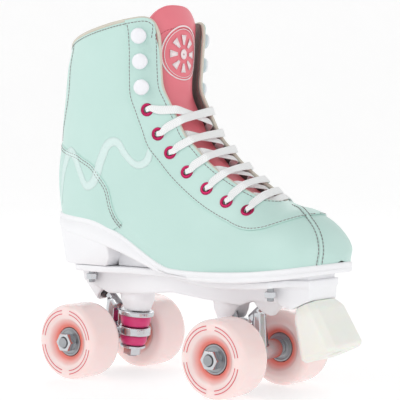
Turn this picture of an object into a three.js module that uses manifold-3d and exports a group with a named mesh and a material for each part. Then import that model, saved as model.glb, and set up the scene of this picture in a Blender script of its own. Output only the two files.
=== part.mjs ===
// A high-cut quad roller skate: laced boot on a moulded sole, plate, two steering trucks and four wheels.
// Millimetres, +Z up, +X towards the toe. Heights in the tables are measured from the axles' height.
import * as THREE from 'three';
import { ConvexGeometry } from 'three/addons/geometries/ConvexGeometry.js';
import { mergeVertices } from 'three/addons/utils/BufferGeometryUtils.js';
import Module from 'manifold-3d';

const wasm = await Module();
wasm.setup();

// ---------- driving dimensions ----------
const clearance = 0.3;

const wheelDiameter = 58;
const wheelWidth = 33;
const wheelTread = 22;          // flat of the rolling face
const hubRecess = 4.5;          // side of the tyre down to the hub's face
const wheelbase = 141;
const track = 82;               // middle of one wheel to the middle of the other

const bearingOuter = 22;
const bearingBore = 8;
const bearingWidth = 7;

const axleDiameter = 8;
const nutAcross = 13;
const nutThickness = 6.5;
const kingpinNutThickness = 5;
const axleProud = 1.2;

const kingpinDiameter = 8;
const kingpinLean = THREE.MathUtils.degToRad(7);
const kingpinInboard = 21;      // ring centre to the axle, along X
const ringHeight = 6;           // ring centre above the axle
const ringRadius = 13;
const ringThickness = 6.5;
const ringBore = 15;
const cushionHeight = 10.5;
const cushionRadius = 12.5;
const lowerCushionHeight = 8;
const washerThickness = 2;
const pivotOutboard = 9.5;      // pivot tip to the axle, along X
const pivotHeight = 38;
const pivotRadius = 4;
const pivotCupWall = 2.5;
const hangerRadius = 7.5;

const bootLength = 264;
const bootWidth = 87;
const collarHeight = 226.5;     // back of the collar above the axles
const upperWall = 2.4;
const liningWall = 1.1;
const eyestayWall = 1.2;
const eyestayWidth = 26;
const tongueWall = 5;
const eyeletHole = 5;
const eyeletInset = 17.3;       // facing edge to the eyelets' centres
const hookInset = 14.2;
const boardThickness = 2;
const insoleThickness = 4;
const rimHeight = 6;            // sole's rim above the floor it stands on
const deckThickness = 5;
const boltDiameter = 5;

const laceWidth = 8;
const laceThickness = 1.2;
const laceWidthInEyelet = 3.4;
const laceClear = 1.4;          // between the lace and the facing that it crosses

const stopLength = 39;

// ---------- materials ----------
const finish = (color, roughness, metalness = 0) =>
  new THREE.MeshStandardMaterial({ color, roughness, metalness, flatShading: true });
const mint = finish('#bfddd6', 0.45);
const coral = finish('#e5808a', 0.6);
const liningCloth = finish('#6b5a58', 0.9);
const laceWhite = finish('#f4f4f4', 0.8);
const whitePlastic = finish('#f0f0f2', 0.3);
const chrome = finish('#c9ccd0', 0.15, 1);
const raspberry = finish('#d63a76', 0.45);
const wheelPink = finish('#f2c9c9', 0.25);
const stopWhite = finish('#ecece6', 0.5);
const foam = finish('#8a7a78', 0.9);
const board = finish('#b79f7e', 0.9);
const steel = finish('#9b9ea3', 0.3, 1);

// ---------- solids ----------
function toSolid(geometry) {
  const plain = new THREE.BufferGeometry();
  plain.setAttribute('position', geometry.getAttribute('position').clone());
  plain.setIndex(geometry.getIndex() ? geometry.getIndex().clone() : null);
  const merged = mergeVertices(plain, 1e-4);
  const index = merged.getIndex().array;
  const kept = [];
  for (let i = 0; i < index.length; i += 3) {
    const [a, b, c] = [index[i], index[i + 1], index[i + 2]];
    if (a !== b && b !== c && c !== a) kept.push(a, b, c);
  }
  return new wasm.Manifold(new wasm.Mesh({
    numProp: 3,
    vertProperties: new Float32Array(merged.getAttribute('position').array),
    triVerts: new Uint32Array(kept),
  }));
}

function toGeometry(solid) {
  const mesh = solid.getMesh();
  const geometry = new THREE.BufferGeometry();
  geometry.setAttribute('position', new THREE.BufferAttribute(new Float32Array(mesh.vertProperties), 3));
  geometry.setIndex(new THREE.BufferAttribute(new Uint32Array(mesh.triVerts), 1));
  return geometry;
}

const cut = (base, ...tools) => tools.reduce((rest, tool) => rest.subtract(tool), base);
const join = (first, ...others) => others.reduce((whole, other) => whole.add(other), first);

// a turned solid about +Z; the profile is [radius, height] points that run up the outside
function turned(profile, segments = 24) {
  let area = 0;
  profile.forEach(([r, h], i) => {
    const [r2, h2] = profile[(i + 1) % profile.length];
    area += r * h2 - r2 * h;
  });
  const ordered = area > 0 ? profile : [...profile].reverse();
  const onAxis = ordered[0][0] === 0 && ordered.at(-1)[0] === 0;
  const points = ordered.map(([r, h]) => new THREE.Vector2(r, h));
  if (!onAxis) points.push(points[0].clone());
  return toSolid(new THREE.LatheGeometry(points, segments).rotateX(Math.PI / 2));
}

const rod = (radius, low, high, segments = 20) =>
  turned([[0, low], [radius, low], [radius, high], [0, high]], segments);

const tube = (outer, inner, low, high, segments = 20) =>
  turned([[inner, low], [outer, low], [outer, high], [inner, high]], segments);

// a flat outline of [x, z] points, extruded across Y
function across(points, halfWidth) {
  const shape = new THREE.Shape(points.map(([x, z]) => new THREE.Vector2(x, z)));
  const geometry = new THREE.ExtrudeGeometry(shape, { depth: 2 * halfWidth, bevelEnabled: false });
  return toSolid(geometry.rotateX(Math.PI / 2).translate(0, halfWidth, 0));
}

// a flat outline of [x, y] points, extruded up from low to high
function upright(points, low, high) {
  const shape = new THREE.Shape(points.map(([x, y]) => new THREE.Vector2(x, y)));
  const geometry = new THREE.ExtrudeGeometry(shape, { depth: high - low, bevelEnabled: false });
  return toSolid(geometry.translate(0, 0, low));
}

const hull = (points) => toSolid(new ConvexGeometry(points.map((p) => new THREE.Vector3(...p))));

// moves a solid's own +Z onto a direction, and its origin to a place
function placed(solid, at, direction = [0, 0, 1]) {
  const turn = new THREE.Quaternion().setFromUnitVectors(
    new THREE.Vector3(0, 0, 1), new THREE.Vector3(...direction).normalize());
  const m = new THREE.Matrix4().compose(new THREE.Vector3(...at), turn, new THREE.Vector3(1, 1, 1));
  return solid.transform(m.elements);
}

function ringOf(count, radius, z, x = 0, y = 0) {
  return Array.from({ length: count }, (_, i) => {
    const turn = (2 * Math.PI * i) / count;
    return [x + radius * Math.cos(turn), y + radius * Math.sin(turn), z];
  });
}

const skate = new THREE.Group();
const chassis = new THREE.Group();
chassis.position.z = wheelDiameter / 2;
skate.add(chassis);

function add(name, solid, material, parent = chassis) {
  const mesh = new THREE.Mesh(toGeometry(solid), material);
  mesh.name = name;
  parent.add(mesh);
  return mesh;
}

// ---------- wheels, bearings and axle nuts ----------
const wheelSegments = 24;

function wheelSolid() {
  const half = wheelWidth / 2;
  const hubFace = half - hubRecess;
  const seat = bearingOuter / 2 + clearance;
  const seatFloor = hubFace - bearingWidth - clearance;
  const radius = wheelDiameter / 2;
  const side = [
    [bearingBore / 2 + 5, seatFloor], [seat, seatFloor], [seat, hubFace], [seat + 2.6, hubFace],
    [seat + 6.2, hubFace - 1.6], [radius - 7, half - 0.6], [radius - 3.4, half - 0.2],
    [radius - 0.6, wheelTread / 2 + 2.2], [radius, wheelTread / 2],
  ];
  const other = side.map(([r, y]) => [r, -y]).reverse();
  return turned([...side, ...other], wheelSegments);
}

function hexagon(acrossFlats, low, high, bore) {
  const corners = ringOf(6, acrossFlats / Math.sqrt(3), 0).map(([x, y]) => [x, y]);
  return cut(upright(corners, low, high), rod(bore / 2, low - 1, high + 1, 16));
}

const wheelShape = wheelSolid();
const bearingShape = tube(bearingOuter / 2, bearingBore / 2 + clearance,
  -bearingWidth / 2, bearingWidth / 2, 16);
const axleNutShape = hexagon(nutAcross, 0, nutThickness, axleDiameter + 2 * clearance);
const hubOffset = wheelWidth / 2 - hubRecess;
const outerFace = track / 2 + hubOffset;
const innerFace = track / 2 - hubOffset;

for (const [end, endSign] of [['front', 1], ['rear', -1]]) {
  for (const [side, sideSign] of [['left', 1], ['right', -1]]) {
    const x = (endSign * wheelbase) / 2;
    const outward = [0, sideSign, 0];
    add(`${end}_${side}_wheel`, placed(wheelShape, [x, (sideSign * track) / 2, 0], outward), wheelPink);
    const seats = { outer: outerFace - bearingWidth / 2, inner: innerFace + bearingWidth / 2 };
    for (const [seat, y] of Object.entries(seats)) {
      add(`${end}_${side}_${seat}_bearing`, placed(bearingShape, [x, sideSign * y, 0], outward), steel);
    }
    const nutSeat = [x, sideSign * (outerFace + clearance), 0];
    add(`${end}_${side}_axle_nut`, placed(axleNutShape, nutSeat, outward), chrome);
  }
}

// ---------- trucks ----------
const axleEnd = outerFace + clearance + nutThickness + axleProud;
const hangerHalf = innerFace - clearance;
const lean = [Math.sin(kingpinLean), 0, Math.cos(kingpinLean)];   // up along a kingpin, towards the middle
const steerRun = kingpinInboard + pivotOutboard;
const steerRise = pivotHeight - ringHeight;
const steerLength = Math.hypot(steerRun, steerRise);
const steerUp = [-steerRun / steerLength, 0, steerRise / steerLength];
const upperCushionLow = ringThickness / 2 + clearance;
const upperCushionHigh = upperCushionLow + cushionHeight;
const upperWasherHigh = upperCushionHigh + clearance + washerThickness;
const lowerCushionHigh = -ringThickness / 2 - clearance;
const lowerCushionLow = lowerCushionHigh - lowerCushionHeight;
const lowerWasherLow = lowerCushionLow - clearance - washerThickness;
const kingpinNutHigh = lowerWasherLow - clearance;
const pivotTip = steerLength + 3;
const cupDepth = 9;

// A truck's own frame: its axle through the origin along Y, and +X towards the middle of the skate.
const onKingpin = (solid) => placed(solid, [kingpinInboard, 0, ringHeight], lean);
const onSteer = (solid) => placed(solid, [kingpinInboard, 0, ringHeight], steerUp);

function hangerSolid() {
  const half = hangerHalf;
  const beam = placed(turned([
    [0, -half], [6.2, -half], [6.2, -half + 4], [hangerRadius, -half + 6],
    [hangerRadius, half - 6], [6.2, half - 4], [6.2, half], [0, half],
  ], 20), [0, 0, 0], [0, 1, 0]);
  const ring = onKingpin(rod(ringRadius, -ringThickness / 2, ringThickness / 2, 24));
  const yoke = hull([
    ...ringOf(10, hangerRadius - 1, 0).map(([x, z]) => [x, 9, z]),
    ...ringOf(10, hangerRadius - 1, 0).map(([x, z]) => [x, -9, z]),
    [kingpinInboard - 6, 8, ringHeight + 3], [kingpinInboard - 6, -8, ringHeight + 3],
    [kingpinInboard - 6, 8, ringHeight - 3.5], [kingpinInboard - 6, -8, ringHeight - 3.5],
  ]);
  const armFoot = [-2, 0, 4];
  const shoulder = pivotTip - cupDepth - 6;
  const shoulderAt = steerUp.map((s, i) => [kingpinInboard, 0, ringHeight][i] + s * shoulder);
  const arm = hull([
    ...ringOf(8, 6.2, 0).map(([a, b]) => [armFoot[0] + a, b * 1.25, armFoot[2]]),
    ...ringOf(8, 5.2, 0).map(([a, b]) => [shoulderAt[0] + a, b, shoulderAt[2]]),
  ]);
  const pivotPin = onSteer(turned([
    [0, shoulder - 8], [pivotRadius + 0.8, shoulder - 8], [pivotRadius, shoulder + 2],
    [pivotRadius, pivotTip - 1.5], [pivotRadius - 1.5, pivotTip], [0, pivotTip],
  ], 16));
  const bore = onKingpin(rod(ringBore / 2, -30, 60, 24));
  const axleBore = placed(rod(axleDiameter / 2 + clearance, -half - 1, half + 1, 16), [0, 0, 0], [0, 1, 0]);
  const washerSpace = onKingpin(rod(cushionRadius + 2.5, ringThickness / 2, 40, 24));
  const lowerSpace = onKingpin(rod(ringRadius - 1, -40, -ringThickness / 2, 24));
  return cut(join(cut(join(beam, yoke, arm), washerSpace, lowerSpace), ring, pivotPin), bore, axleBore);
}

function cushionSolid(low, high, bottomRadius, topRadius) {
  const waist = (low + high) / 2;
  const bore = kingpinDiameter / 2 + clearance;
  const bulge = (bottomRadius + topRadius) / 2 + 0.6;
  return turned([
    [bore, low], [bottomRadius - 1, low], [bottomRadius, low + 1.2], [bulge, waist],
    [topRadius, high - 1.2], [topRadius - 1, high], [bore, high],
  ], 20);
}

const truckPieces = {
  hanger: [hangerSolid(), chrome],
  axle: [placed(rod(axleDiameter / 2, -axleEnd, axleEnd, 16), [0, 0, 0], [0, 1, 0]), steel],
  kingpin: [onKingpin(rod(kingpinDiameter / 2, kingpinNutHigh - kingpinNutThickness - 1.6,
    upperWasherHigh + 12, 16)), steel],
  kingpin_nut: [onKingpin(hexagon(nutAcross, kingpinNutHigh - kingpinNutThickness, kingpinNutHigh,
    kingpinDiameter + 2 * clearance)), chrome],
  upper_cushion: [onKingpin(cushionSolid(upperCushionLow, upperCushionHigh,
    cushionRadius - 1.2, cushionRadius)), raspberry],
  lower_cushion: [onKingpin(cushionSolid(lowerCushionLow, lowerCushionHigh,
    cushionRadius - 3, cushionRadius - 1.5)), raspberry],
  upper_washer: [onKingpin(turned([
    [kingpinDiameter / 2 + clearance, upperCushionHigh + clearance],
    [cushionRadius + 0.6, upperCushionHigh + clearance],
    [cushionRadius + 0.6, upperCushionHigh - 1.6], [cushionRadius + 1.8, upperCushionHigh - 1.6],
    [cushionRadius + 1.8, upperWasherHigh - 0.6], [cushionRadius + 0.8, upperWasherHigh],
    [kingpinDiameter / 2 + clearance, upperWasherHigh],
  ], 24)), chrome],
  lower_washer: [onKingpin(tube(cushionRadius - 2.5, kingpinDiameter / 2 + clearance,
    lowerWasherLow, lowerWasherLow + washerThickness, 24)), chrome],
  pivot_cup: [onSteer(cut(
    rod(pivotRadius + clearance + pivotCupWall, pivotTip - cupDepth,
      pivotTip + clearance + pivotCupWall, 20),
    rod(pivotRadius + clearance, pivotTip - cupDepth - 1, pivotTip + clearance, 20))), raspberry],
};

for (const [end, endSign] of [['front', 1], ['rear', -1]]) {
  const truck = new THREE.Group();
  truck.position.x = (endSign * wheelbase) / 2;
  truck.rotation.z = endSign > 0 ? Math.PI : 0;
  chassis.add(truck);
  for (const [piece, [solid, material]] of Object.entries(truckPieces)) {
    add(`${end}_${piece}`, solid, material, truck);
  }
}

// ---------- the last: the boot's form ----------
// Each station is one cross-section: its back or bottom point, its front or top point, its half-width,
// where along it the width is greatest, and how square its two ends are (2 is round).
const lastLength = 264;
const lastWidth = 87;
const lastCollar = 226.5;
const instepHeight = 100;
const stations = [
  { back: [-103, 226.5], front: [9, 252], half: 42, widest: 0.5, backSquare: 2.2, frontSquare: 2.3 },
  { back: [-108.5, 209], front: [8, 233], half: 41, widest: 0.5, backSquare: 2.2, frontSquare: 2.3 },
  { back: [-111.5, 188], front: [7, 214], half: 40, widest: 0.5, backSquare: 2.2, frontSquare: 2.3 },
  { back: [-115, 168], front: [8, 199], half: 39, widest: 0.5, backSquare: 2.2, frontSquare: 2.2 },
  { back: [-117, 150], front: [15, 187], half: 37.5, widest: 0.5, backSquare: 2.2, frontSquare: 2.2 },
  { back: [-120.5, 134], front: [23.5, 175], half: 36.5, widest: 0.5, backSquare: 2.2, frontSquare: 2.2 },
  { back: [-121.5, 119], front: [33.5, 164], half: 36, widest: 0.48, backSquare: 2.2, frontSquare: 2.1 },
  { back: [-118, 99], front: [44, 155], half: 36, widest: 0.46, backSquare: 2.3, frontSquare: 2.1 },
  { back: [-106, 79], front: [55.5, 145], half: 36, widest: 0.44, backSquare: 3, frontSquare: 2.1 },
  { back: [-55, 66], front: [66.5, 134.5], half: 36.5, widest: 0.4, backSquare: 4, frontSquare: 2.1 },
  { back: [-15, 58], front: [77, 125.5], half: 38, widest: 0.36, backSquare: 4.5, frontSquare: 2.1 },
  { back: [20, 50], front: [86, 116.5], half: 40.5, widest: 0.33, backSquare: 5, frontSquare: 2.1 },
  { back: [48, 47], front: [95, 111.3], half: 43, widest: 0.3, backSquare: 5, frontSquare: 2.1 },
  { back: [72, 47], front: [104, 108.5], half: 43.5, widest: 0.3, backSquare: 5, frontSquare: 2.1 },
  { back: [93, 48.5], front: [115, 106.5], half: 42.5, widest: 0.3, backSquare: 5, frontSquare: 2.1 },
  { back: [110, 51], front: [127, 101], half: 39.5, widest: 0.32, backSquare: 4.5, frontSquare: 2.1 },
  { back: [124, 54], front: [137, 91.5], half: 34, widest: 0.35, backSquare: 4, frontSquare: 2.1 },
  { back: [134, 57.5], front: [142, 81], half: 25, widest: 0.4, backSquare: 3, frontSquare: 2.1 },
  { back: [140, 61], front: [144, 72], half: 13, widest: 0.5, backSquare: 2.2, frontSquare: 2.1 },
];
const aboveCollar = {
  back: [-100, 243], front: [-8, 264], half: 43, widest: 0.5, backSquare: 2.2, frontSquare: 3,
};

// half the gap between the two facings, at each station from the collar to the end of the throat
const throatGap = [30, 27, 25.5, 24, 23, 22.5, 22.3, 21.5, 21, 20, 18.5, 14.5];
const throatEnd = 11.9;

const eyeletStations = [4.05, 5.5, 6.75, 8.0, 9.05, 10.15, 11.25];
const hookStations = [0.65, 1.65, 2.8];

const along = (x) => (x * bootLength) / lastLength;
const raised = (z) => (z <= instepHeight ? z
  : instepHeight + ((z - instepHeight) * (collarHeight - instepHeight)) / (lastCollar - instepHeight));

function spline(values, t) {
  const i = Math.min(Math.max(Math.floor(t), 0), values.length - 2);
  const f = t - i;
  const at = (k) => values[Math.min(Math.max(k, 0), values.length - 1)];
  const [a, b, c, d] = [i > 0 ? at(i - 1) : 2 * at(0) - at(1), at(i), at(i + 1),
    i + 2 < values.length ? at(i + 2) : 2 * at(i + 1) - at(i)];
  return b + 0.5 * f * (c - a + f * (2 * a - 5 * b + 4 * c - d + f * (3 * (b - c) + d - a)));
}

const columns = (list) => ({
  bx: list.map((s) => along(s.back[0])), bz: list.map((s) => raised(s.back[1])),
  fx: list.map((s) => along(s.front[0])), fz: list.map((s) => raised(s.front[1])),
  half: list.map((s) => (s.half * bootWidth) / lastWidth), widest: list.map((s) => s.widest),
  backSquare: list.map((s) => s.backSquare), frontSquare: list.map((s) => s.frontSquare),
});
const withTop = columns([aboveCollar, ...stations]);
const section = (u) => Object.fromEntries(Object.entries(withTop).map(([k, v]) => [k, spline(v, u + 1)]));

// half the throat's opening at a station
function gapAt(u) {
  const last = throatGap.length - 1;
  if (u <= last) return spline(throatGap, Math.max(u, 0));
  return throatGap[last] * Math.sqrt(Math.max(throatEnd - u, 0.002) / (throatEnd - last));
}

// a point of the boot's outer surface: turn goes from the back, 0, round the left side to the front, pi,
// and on round the right side; flat lays the stretch between the facings straight across
function surface(u, turn, flat = false) {
  const s = section(u);
  const c = Math.cos(turn);
  const front = c < 0;
  const power = 2 / (front ? s.frontSquare : s.backSquare);
  let y = Math.sign(Math.sin(turn)) * s.half * Math.abs(Math.sin(turn)) ** power;
  let t = front ? s.widest + (1 - s.widest) * Math.abs(c) ** power : s.widest * (1 - Math.abs(c) ** power);
  if (flat && front) {
    const gap = Math.min(gapAt(Math.min(u, throatEnd)), s.half * 0.95);
    if (Math.abs(y) < gap) {
      const edge = Math.acos(-1 * Math.sqrt(Math.max(0, 1 - (gap / s.half) ** s.frontSquare)));
      t = s.widest + (1 - s.widest) * Math.abs(Math.cos(edge)) ** power;
    }
  }
  return new THREE.Vector3(s.bx + (s.fx - s.bx) * t, y, s.bz + (s.fz - s.bz) * t);
}

function normal(u, turn, flat = false) {
  const e = 0.02;
  const du = surface(u + e, turn, flat).sub(surface(u - e, turn, flat));
  const dt = surface(u, turn + e, flat).sub(surface(u, turn - e, flat));
  return dt.cross(du).normalize();
}

const skin = (u, turn, offset, flat = false) =>
  surface(u, turn, flat).addScaledVector(normal(u, turn, flat), offset);

// the turn at the facing's edge on the left side
function edgeTurn(u) {
  const s = section(u);
  return Math.PI - Math.asin(Math.min(gapAt(u) / s.half, 0.98) ** (s.frontSquare / 2));
}

// the turn that lies a distance back from a given turn, measured on the surface
function turnBack(u, from, distance) {
  let turn = from;
  let left = Math.abs(distance);
  const step = 0.02 * Math.sign(distance);
  while (left > 0) {
    const stride = surface(u, turn).distanceTo(surface(u, turn - step));
    turn -= step * Math.min(1, left / stride);
    left -= stride;
  }
  return turn;
}

// a closed solid from a grid of points, outer[i][j] over inner[i][j], open on all four edges
function slab(outer, inner) {
  const rows = outer.length;
  const cols = outer[0].length;
  const points = [...outer.flat(), ...inner.flat()];
  const at = (layer, i, j) => layer * rows * cols + i * cols + j;
  const faces = [];
  const quad = (a, b, c, d) => faces.push(a, b, c, a, c, d);
  for (let i = 0; i < rows - 1; i++) {
    for (let j = 0; j < cols - 1; j++) {
      quad(at(0, i, j), at(0, i + 1, j), at(0, i + 1, j + 1), at(0, i, j + 1));
      quad(at(1, i, j), at(1, i, j + 1), at(1, i + 1, j + 1), at(1, i + 1, j));
    }
  }
  for (let i = 0; i < rows - 1; i++) {
    quad(at(0, i, 0), at(1, i, 0), at(1, i + 1, 0), at(0, i + 1, 0));
    quad(at(0, i, cols - 1), at(0, i + 1, cols - 1), at(1, i + 1, cols - 1), at(1, i, cols - 1));
  }
  for (let j = 0; j < cols - 1; j++) {
    quad(at(0, 0, j), at(0, 0, j + 1), at(1, 0, j + 1), at(1, 0, j));
    quad(at(0, rows - 1, j), at(1, rows - 1, j), at(1, rows - 1, j + 1), at(0, rows - 1, j + 1));
  }
  return fromFaces(points, faces);
}

function fromFaces(points, faces) {
  const geometry = new THREE.BufferGeometry();
  const positions = new Float32Array(points.flatMap((p) => p.toArray()));
  geometry.setAttribute('position', new THREE.BufferAttribute(positions, 3));
  geometry.setIndex(faces);
  const solid = toSolid(geometry);
  if (solid.volume() > 0) return solid;
  const turnedOut = [];
  for (let i = 0; i < faces.length; i += 3) turnedOut.push(faces[i], faces[i + 2], faces[i + 1]);
  geometry.setIndex(turnedOut);
  return toSolid(geometry);
}

// the stretch of boot between two stations and two turns, between two offsets from its surface
function patch(us, turnsAt, outOffset, inOffset, flat = false) {
  const grid = (offset) => us.map((u) => turnsAt(u).map((turn) => skin(u, turn, offset, flat)));
  return slab(grid(outOffset), grid(inOffset));
}

const spread = (low, high, count) =>
  Array.from({ length: count }, (_, i) => low + ((high - low) * i) / (count - 1));

// the whole boot form, closed at both ends, at an offset from its surface
const around = 18;
function form(offset, us, collarLift = 0) {
  const rings = us.map((u) => Array.from({ length: around }, (_, j) =>
    skin(u, (2 * Math.PI * (j + 0.5)) / around, offset)));
  if (collarLift) rings.unshift(rings[0].map((p) => p.clone().add(new THREE.Vector3(0, 0, collarLift))));
  const points = rings.flat();
  const faces = [];
  for (let i = 0; i < rings.length - 1; i++) {
    for (let j = 0; j < around; j++) {
      const k = (j + 1) % around;
      const [a, b, c, d] = [i * around + j, (i + 1) * around + j, (i + 1) * around + k, i * around + k];
      faces.push(a, b, c, a, c, d);
    }
  }
  for (const [base, flip] of [[0, false], [(rings.length - 1) * around, true]]) {
    const middle = points.length;
    const centre = new THREE.Vector3();
    for (let j = 0; j < around; j++) centre.add(points[base + j]);
    points.push(centre.divideScalar(around));
    for (let j = 0; j < around; j++) {
      const k = (j + 1) % around;
      faces.push(middle, ...(flip ? [base + k, base + j] : [base + j, base + k]));
    }
  }
  return fromFaces(points, faces);
}

const formStations = [0, 2, 4, 5.5, 6.6, 7.4, 8.2, 9.2, 10.6, 12, 13.5, 15, 16.2, 17.2, 18];
const hollowStations = (toeStop) => [...formStations.filter((u) => u < toeStop - 0.3), toeStop];

// ---------- sole ----------
const rimTop = [[-126, 97.5], [-87, 91], [-47, 83], [8, 67.5], [46, 62], [82, 62.8], [110, 65.5],
  [150, 71.5]];
const soleUnder = [[-126, 88.5], [-50, 73.5], [0, 58.5], [20, 55], [46, 53.5], [80, 54.5], [108, 57.3],
  [130, 60.5], [150, 64]];
const soleOutline = [[-121, 0], [-117.5, 13], [-108, 23], [-90, 31], [-60, 34], [-20, 35.5], [20, 39.5],
  [55, 45], [85, 46.5], [108, 43.5], [126, 35.5], [138.5, 22.5], [144, 9], [145, 0]];
const heelBlock = { back: -108, front: -50, under: 58, half: 27 };
const shankHalf = 24;

const profileCurve = (points, lift, count) => {
  const curve = new THREE.SplineCurve(points.map(([x, z]) => new THREE.Vector2(along(x), z + lift)));
  return curve.getPoints(count).map((p) => [p.x, p.y]);
};

function planOutline(grow, count = 20) {
  const right = soleOutline.map(([x, y]) => new THREE.Vector2(along(x), (-y * bootWidth) / lastWidth));
  const curve = new THREE.SplineCurve(right);
  const half = curve.getPoints(count);
  const grown = half.map((p, i) => {
    if (i === 0 || i === count) return [p.x + (i ? grow : -grow), 0];
    const t = curve.getTangent(i / count);
    return [p.x + t.y * grow, p.y - t.x * grow];
  });
  return [...grown, ...grown.slice(1, -1).map(([x, y]) => [x, -y]).reverse()];
}

const above = (points, lift, top) => {
  const line = profileCurve(points, lift, 12);
  return across([...line, [line.at(-1)[0], top], [line[0][0], top]], 100);
};
const below = (points, lift, bottom) => {
  const line = profileCurve(points, lift, 12);
  return across([[line[0][0], bottom], [line.at(-1)[0], bottom], ...[...line].reverse()], 100);
};
const tall = 400;

const outerForm = form(0, formStations);
const outlineSolid = upright(planOutline(0), 0, tall);

function soleSolid() {
  const band = outlineSolid.intersect(below(rimTop, 0, 0)).intersect(above(soleUnder, 0, tall));
  const topRing = planOutline(-1.2).filter(([x]) => x < along(heelBlock.front));
  const frontX = along(heelBlock.front);
  const widest = Math.max(...topRing.map(([, y]) => y));
  const backX = along(heelBlock.back);
  const block = hull([
    ...topRing.map(([x, y]) => [x, y, 74 - 0.2 * (x - frontX)]),
    [frontX, widest, 74], [frontX, -widest, 74],
    [frontX, heelBlock.half, heelBlock.under], [frontX, -heelBlock.half, heelBlock.under],
    ...ringOf(24, heelBlock.half, heelBlock.under, backX + heelBlock.half * 0.8, 0)
      .filter(([x]) => x <= backX + heelBlock.half * 0.8 + 1)
      .map(([x, y, z]) => [backX + (x - backX) * 0.8 + 0.9, y, z]),
  ]);
  const shank = across([[frontX - 2, heelBlock.under], [along(4), heelBlock.under], [along(4), 62],
    [frontX - 2, 78]], shankHalf);
  const seat = form(clearance, formStations).intersect(above(rimTop, -rimHeight, tall));
  return cut(join(band, block, shank), seat);
}

// ---------- upper, lining, eyestays, tongue ----------
const onFloor = above(rimTop, clearance - rimHeight, tall);
const slit = patch([-0.6, ...spread(0, 11, 12), 11.3, 11.6, 11.8, throatEnd],
  (u) => {
    const edge = edgeTurn(Math.max(u, 0));
    return spread(edge, 2 * Math.PI - edge, 9);
  }, eyestayWall + 4, -(upperWall + liningWall + tongueWall));

const liningOffset = -(upperWall + clearance);
const liningInner = liningOffset - liningWall;
const laceOver = clearance + eyestayWall + laceClear + laceThickness;
const laceUnder = liningInner - laceClear - laceThickness / 2;

const eyeletPlaces = [];
for (const [side, mirror] of [['left', 1], ['right', -1]]) {
  eyeletStations.forEach((u, i) => {
    const turn = turnBack(u, edgeTurn(u), eyeletInset);
    eyeletPlaces.push({ side, mirror, number: i + 1, u, turn });
  });
}
const mirrored = (v, mirror) => new THREE.Vector3(v.x, v.y * mirror, v.z);
const eyeletHoles = eyeletPlaces.map(({ mirror, u, turn }) => {
  const at = mirrored(surface(u, turn), mirror).toArray();
  const out = mirrored(normal(u, turn), mirror).toArray();
  return placed(rod(eyeletHole / 2, -8, 6, 6), at, out);
});

const upperHollow = form(-upperWall, hollowStations(17), 12);
const upper = cut(outerForm.intersect(onFloor), upperHollow, slit, ...eyeletHoles);
const liningBody = cut(
  form(liningOffset, hollowStations(17)).intersect(onFloor),
  form(liningInner, hollowStations(16.7), 12), slit, ...eyeletHoles);

function eyestay(mirror) {
  const us = [...spread(0.08, 11, 12), 11.4, 11.75];
  const turns = (u) => {
    const edge = edgeTurn(u);
    const width = u < 9 ? eyestayWidth : eyestayWidth - (u - 9) * 1.5;
    return spread(turnBack(u, edge, width), edge, 4);
  };
  const whole = patch(us, turns, clearance + eyestayWall, -0.6);
  return cut(mirror > 0 ? whole : whole.mirror([0, 1, 0]), form(1.5 * clearance, formStations));
}

// the tongue bows forward above the lacing, lies flat under the laces and laps under both facings
const tongueTop = -0.62;
const tongueEnd = 11.5;
const tongueLap = 7;
const tongueFree = 3.9;         // the station from which the laces hold it down
const tongueProud = 0.6;        // its middle before the facings' edges where it is free
const collarStep = 18;          // height from one station to the next above the collar

function tonguePoint(u, across, height) {
  const here = Math.max(u, 0);
  const step = 0.05;
  const edge = surface(here, edgeTurn(here)).setY(0);
  const down = surface(here + step, edgeTurn(here + step)).setY(0).sub(edge).normalize();
  const out = new THREE.Vector3(-down.z, 0, down.x);
  const laced = laceUnder - laceThickness / 2 - 2 * clearance;
  const side = skin(here, turnBack(here, edgeTurn(here), tongueLap), laced - clearance);
  const sideDepth = side.clone().sub(edge).dot(out);
  const free = THREE.MathUtils.smoothstep(tongueFree - u, 0, 1.2);
  const middle = THREE.MathUtils.lerp(laced, tongueProud, free);
  if (u < 0) edge.addScaledVector(down, u * collarStep);
  const depth = sideDepth + (middle - sideDepth) * (1 - Math.abs(across) ** 2.2);
  return edge.addScaledVector(out, depth + height).setY(side.y * across);
}

function tongueSolid() {
  const topAt = (across) => tongueTop + 0.85 * Math.abs(across) ** 3.2;
  const grid = (height) => spread(0, 1, 16).map((share) => spread(-1, 1, 13).map((across) =>
    tonguePoint(topAt(across) + (tongueEnd - topAt(across)) * share, across, height)));
  return slab(grid(0), grid(-tongueWall));
}

// ---------- insole board, insole and mounting bolts ----------
const cavity = form(liningInner - clearance, hollowStations(16.4));
const boardLow = clearance - rimHeight;
const boardHigh = boardLow + boardThickness;
const insoleLow = boardHigh + clearance;
const insoleHigh = insoleLow + insoleThickness;
const layer = (low, high) => cavity.intersect(above(rimTop, low, tall)).intersect(below(rimTop, high, 0));

const boltPlaces = [
  { name: 'rear_left', x: -77, y: 20 }, { name: 'rear_right', x: -77, y: -20 },
  { name: 'front_left', x: 101, y: 27 }, { name: 'front_right', x: 101, y: -27 },
];
// a profile's height at a place along it; past its ends it runs on straight
const heightAt = (points, x) => {
  const line = profileCurve(points, 0, 60);
  const next = line.findIndex(([px]) => px >= x);
  const i = next < 0 ? line.length - 1 : Math.max(next, 1);
  const [[x0, z0], [x1, z1]] = [line[i - 1], line[i]];
  return z0 + ((z1 - z0) * (x - x0)) / (x1 - x0);
};
const boltHead = { radius: 5.5, height: 2.2 };
const slopeRoom = 1.6;

// ---------- plate ----------
const plateBack = -wheelbase / 2 - 24;
const plateFront = wheelbase / 2 + 59;
const plateHalf = { back: 29, middle: 22, front: 36, nose: 19 };
const spineHalf = 15;
const noseHalf = { back: 20.5, front: 18 };
const spineUnder = 38;
const bossUnder = 26.5;

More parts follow.
